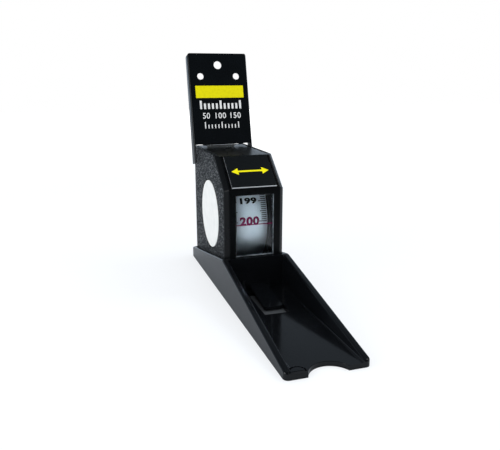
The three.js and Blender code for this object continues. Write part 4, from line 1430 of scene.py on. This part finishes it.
def floor_finish():
    """A white table that shines for the camera, and for the tape behind the lens."""
    material = start_finish("white_table", TABLE_WHITE, 0.6)
    tree, surface, place = open_finish(material)
    surface.inputs["Specular IOR Level"].default_value = 0.1
    path = node(tree, "ShaderNodeLightPath")
    seen = path.outputs["Is Camera Ray"]
    sides = node(tree, "ShaderNodeSeparateXYZ", {0: place})
    away = node(tree, "ShaderNodeVectorMath", {0: place}, operation="LENGTH").outputs["Value"]

    # Where the table is painted dark: a painted shadow under the tray for all rays, and ahead of it, for all
    # but the camera's, a painted reflection of a dark room.
    beside = node(tree, "ShaderNodeMath", {0: sides.outputs[0], 1: 0.0, 2: UNDER_HALF}, operation="COMPARE")
    below = node(
        tree, "ShaderNodeMath",
        {0: sides.outputs[1], 1: UNDER_MIDDLE, 2: UNDER_REACH},
        operation="COMPARE",
    )
    painted_shadow_under = node(tree, "ShaderNodeMath", {0: beside, 1: below}, operation="MULTIPLY")
    ahead = node(
        tree, "ShaderNodeMapRange",
        {0: sides.outputs[1], 1: AHEAD_FROM, 2: AHEAD_TO, 3: 0.0, 4: 1.0},
        interpolation_type="SMOOTHSTEP",
    )
    painted_dark_room = node(tree, "ShaderNodeMath", {0: ahead, 1: seen}, operation="SUBTRACT", use_clamp=True)
    dim = node(tree, "ShaderNodeMath", {0: painted_shadow_under, 1: painted_dark_room}, operation="MAXIMUM")
    tone = node(
        tree, "ShaderNodeMix",
        {0: dim, 6: colour(TABLE_WHITE), 7: colour(TABLE_PAINTED_DARK)},
        data_type="RGBA",
    )
    tree.links.new(tone.outputs[2], surface.inputs["Base Color"])

    # What shines for the camera.
    glowing = node(
        tree, "ShaderNodeMapRange",
        {0: away, 1: GLOW_FROM, 2: GLOW_TO, 3: GLOW_NEAR, 4: 1.0},
        interpolation_type="SMOOTHSTEP",
    )
    open_floor = node(tree, "ShaderNodeMath", {0: glowing, 1: painted_shadow_under}, operation="SUBTRACT", use_clamp=True)
    share = node(tree, "ShaderNodeMath", {0: seen, 1: open_floor}, operation="MULTIPLY")

    # What shines for the tape behind the lens.
    scattered = node(tree, "ShaderNodeMath", {0: path.outputs["Diffuse Depth"], 1: 1.0}, operation="MINIMUM")
    through = node(
        tree, "ShaderNodeMath",
        {0: path.outputs["Is Transmission Ray"], 1: scattered},
        operation="MULTIPLY",
    )
    near = node(
        tree, "ShaderNodeMapRange",
        {0: away, 1: LENS_LIGHT_FROM, 2: LENS_LIGHT_TO, 3: 1.0, 4: 0.0},
        interpolation_type="SMOOTHSTEP",
    )
    to_lens = node(tree, "ShaderNodeMath", {0: through, 1: near}, operation="MULTIPLY")
    lit = node(tree, "ShaderNodeMath", {0: share, 1: to_lens}, operation="MAXIMUM")
    strength = node(tree, "ShaderNodeMix", {0: through, 2: CAMERA_LIGHT, 3: LENS_LIGHT}, data_type="FLOAT")
    glow = node(tree, "ShaderNodeEmission", {"Color": (1, 1, 1, 1), "Strength": strength})
    mixed = node(tree, "ShaderNodeMixShader", {0: lit, 1: surface, 2: glow})
    tree.links.new(mixed.outputs[0], tree.nodes["Material Output"].inputs["Surface"])
    return material


floor_shape = bmesh.new()
bmesh.ops.create_grid(floor_shape, x_segments=1, y_segments=1, size=FLOOR_SIZE / 2)
floor = as_object(floor_shape, "floor")
floor.data.materials.append(floor_finish())
print(f"floor {FLOOR_SIZE} m wide")

# %% [markdown]
# ## Surroundings and lamps
# The world is plain white for the camera and lights matt surfaces evenly. For reflections it is shaped
# like the room that the black plastic shows: bright low down behind and to the left, dark overhead and in
# front, where the photographer stood. A ray that goes out through the lens meets a dim sky, so the tape
# gets most of its light from the table. Such a ray can count as a reflection too, so transmission is
# taken off the reflections. Two weak soft lamps give the last bit of form.

# %% Surroundings
AMBIENT = 1.0
SKY_BLUE = "DDEEFF"
# Height of the direction and brightness there, from low to high.
REFLECTED_SKY = ((0.14, 1.0), (0.36, 0.34), (0.6, 0.2), (0.9, 0.08))
SKY_THROUGH_LENS = ((0.3, 0.01), (0.6, 0.1), (0.75, 0.3), (0.9, 0.3))
BRIGHT_SIDE = Vector((-0.4, 0.92, 0)).normalized()
BRIGHT_FROM = -0.3
BRIGHT_TO = 0.5
DARK_SIDE_SHARE = 0.15


def stepped(tree, height, stops):
    """A brightness that follows the height of a direction, through (height, brightness) stops."""
    peak = max(brightness for _, brightness in stops)
    ramp = node(tree, "ShaderNodeValToRGB", {0: height})
    elements = ramp.color_ramp.elements
    while len(elements) < len(stops):
        elements.new(0.5)
    for element, (position, brightness) in zip(elements, stops):
        element.position = position
        element.color = (brightness / peak, brightness / peak, brightness / peak, 1)
    return node(tree, "ShaderNodeMath", {0: ramp, 1: peak}, operation="MULTIPLY")


def surroundings():
    """A world that is white to look at, even for matt surfaces and shaped for reflections."""
    world = bpy.data.worlds.new("studio")
    world.use_nodes = True
    tree = world.node_tree
    path = node(tree, "ShaderNodeLightPath").outputs
    direction = node(tree, "ShaderNodeTexCoord").outputs["Generated"]
    height = node(tree, "ShaderNodeSeparateXYZ", {0: direction}).outputs["Z"]
    low = stepped(tree, height, REFLECTED_SKY)
    toward = node(
        tree, "ShaderNodeVectorMath", {0: direction, 1: BRIGHT_SIDE}, operation="DOT_PRODUCT",
    ).outputs["Value"]
    behind = node(
        tree, "ShaderNodeMapRange",
        {0: toward, 1: BRIGHT_FROM, 2: BRIGHT_TO, 3: DARK_SIDE_SHARE, 4: 1.0},
        interpolation_type="SMOOTHSTEP",
    )
    reflected = node(tree, "ShaderNodeMath", {0: low, 1: behind}, operation="MULTIPLY")
    mirrored = node(
        tree, "ShaderNodeMath",
        {0: path["Is Glossy Ray"], 1: path["Is Transmission Ray"]},
        operation="SUBTRACT", use_clamp=True,
    )
    passing = stepped(tree, height, SKY_THROUGH_LENS)
    plain = node(
        tree, "ShaderNodeMix", {0: path["Is Transmission Ray"], 2: AMBIENT, 3: passing}, data_type="FLOAT",
    )
    lit = node(tree, "ShaderNodeMix", {0: mirrored, 2: plain, 3: reflected}, data_type="FLOAT")
    seen = node(tree, "ShaderNodeMix", {0: path["Is Camera Ray"], 2: lit, 3: 1.0}, data_type="FLOAT")
    tint = node(tree, "ShaderNodeMix", {0: mirrored, 6: (1, 1, 1, 1), 7: colour(SKY_BLUE)}, data_type="RGBA")
    light = tree.nodes["Background"]
    tree.links.new(tint.outputs[2], light.inputs["Color"])
    tree.links.new(seen.outputs[0], light.inputs["Strength"])
    return world


scene.world = surroundings()
print("surroundings: white low down behind and to the left, dark in front and overhead")

# %% Lamps
def soft_lamp(name, place, size, watts):
    """A square area lamp that faces the object."""
    data = bpy.data.lights.new(name, "AREA")
    data.size = size
    data.energy = watts
    lamp = bpy.data.objects.new(name, data)
    scene.collection.objects.link(lamp)
    lamp.location = Vector(place)
    lamp.rotation_euler = (VIEW_TARGET - lamp.location).to_track_quat("-Z", "Y").to_euler()


soft_lamp("key_right", place=(0.75, -0.1, 0.85), size=0.4, watts=2.6)
soft_lamp("fill_left", place=(-0.9, -0.25, 0.35), size=0.5, watts=3.0)
scene.view_settings.view_transform = "Standard"
print("two soft lamps, view transform Standard")
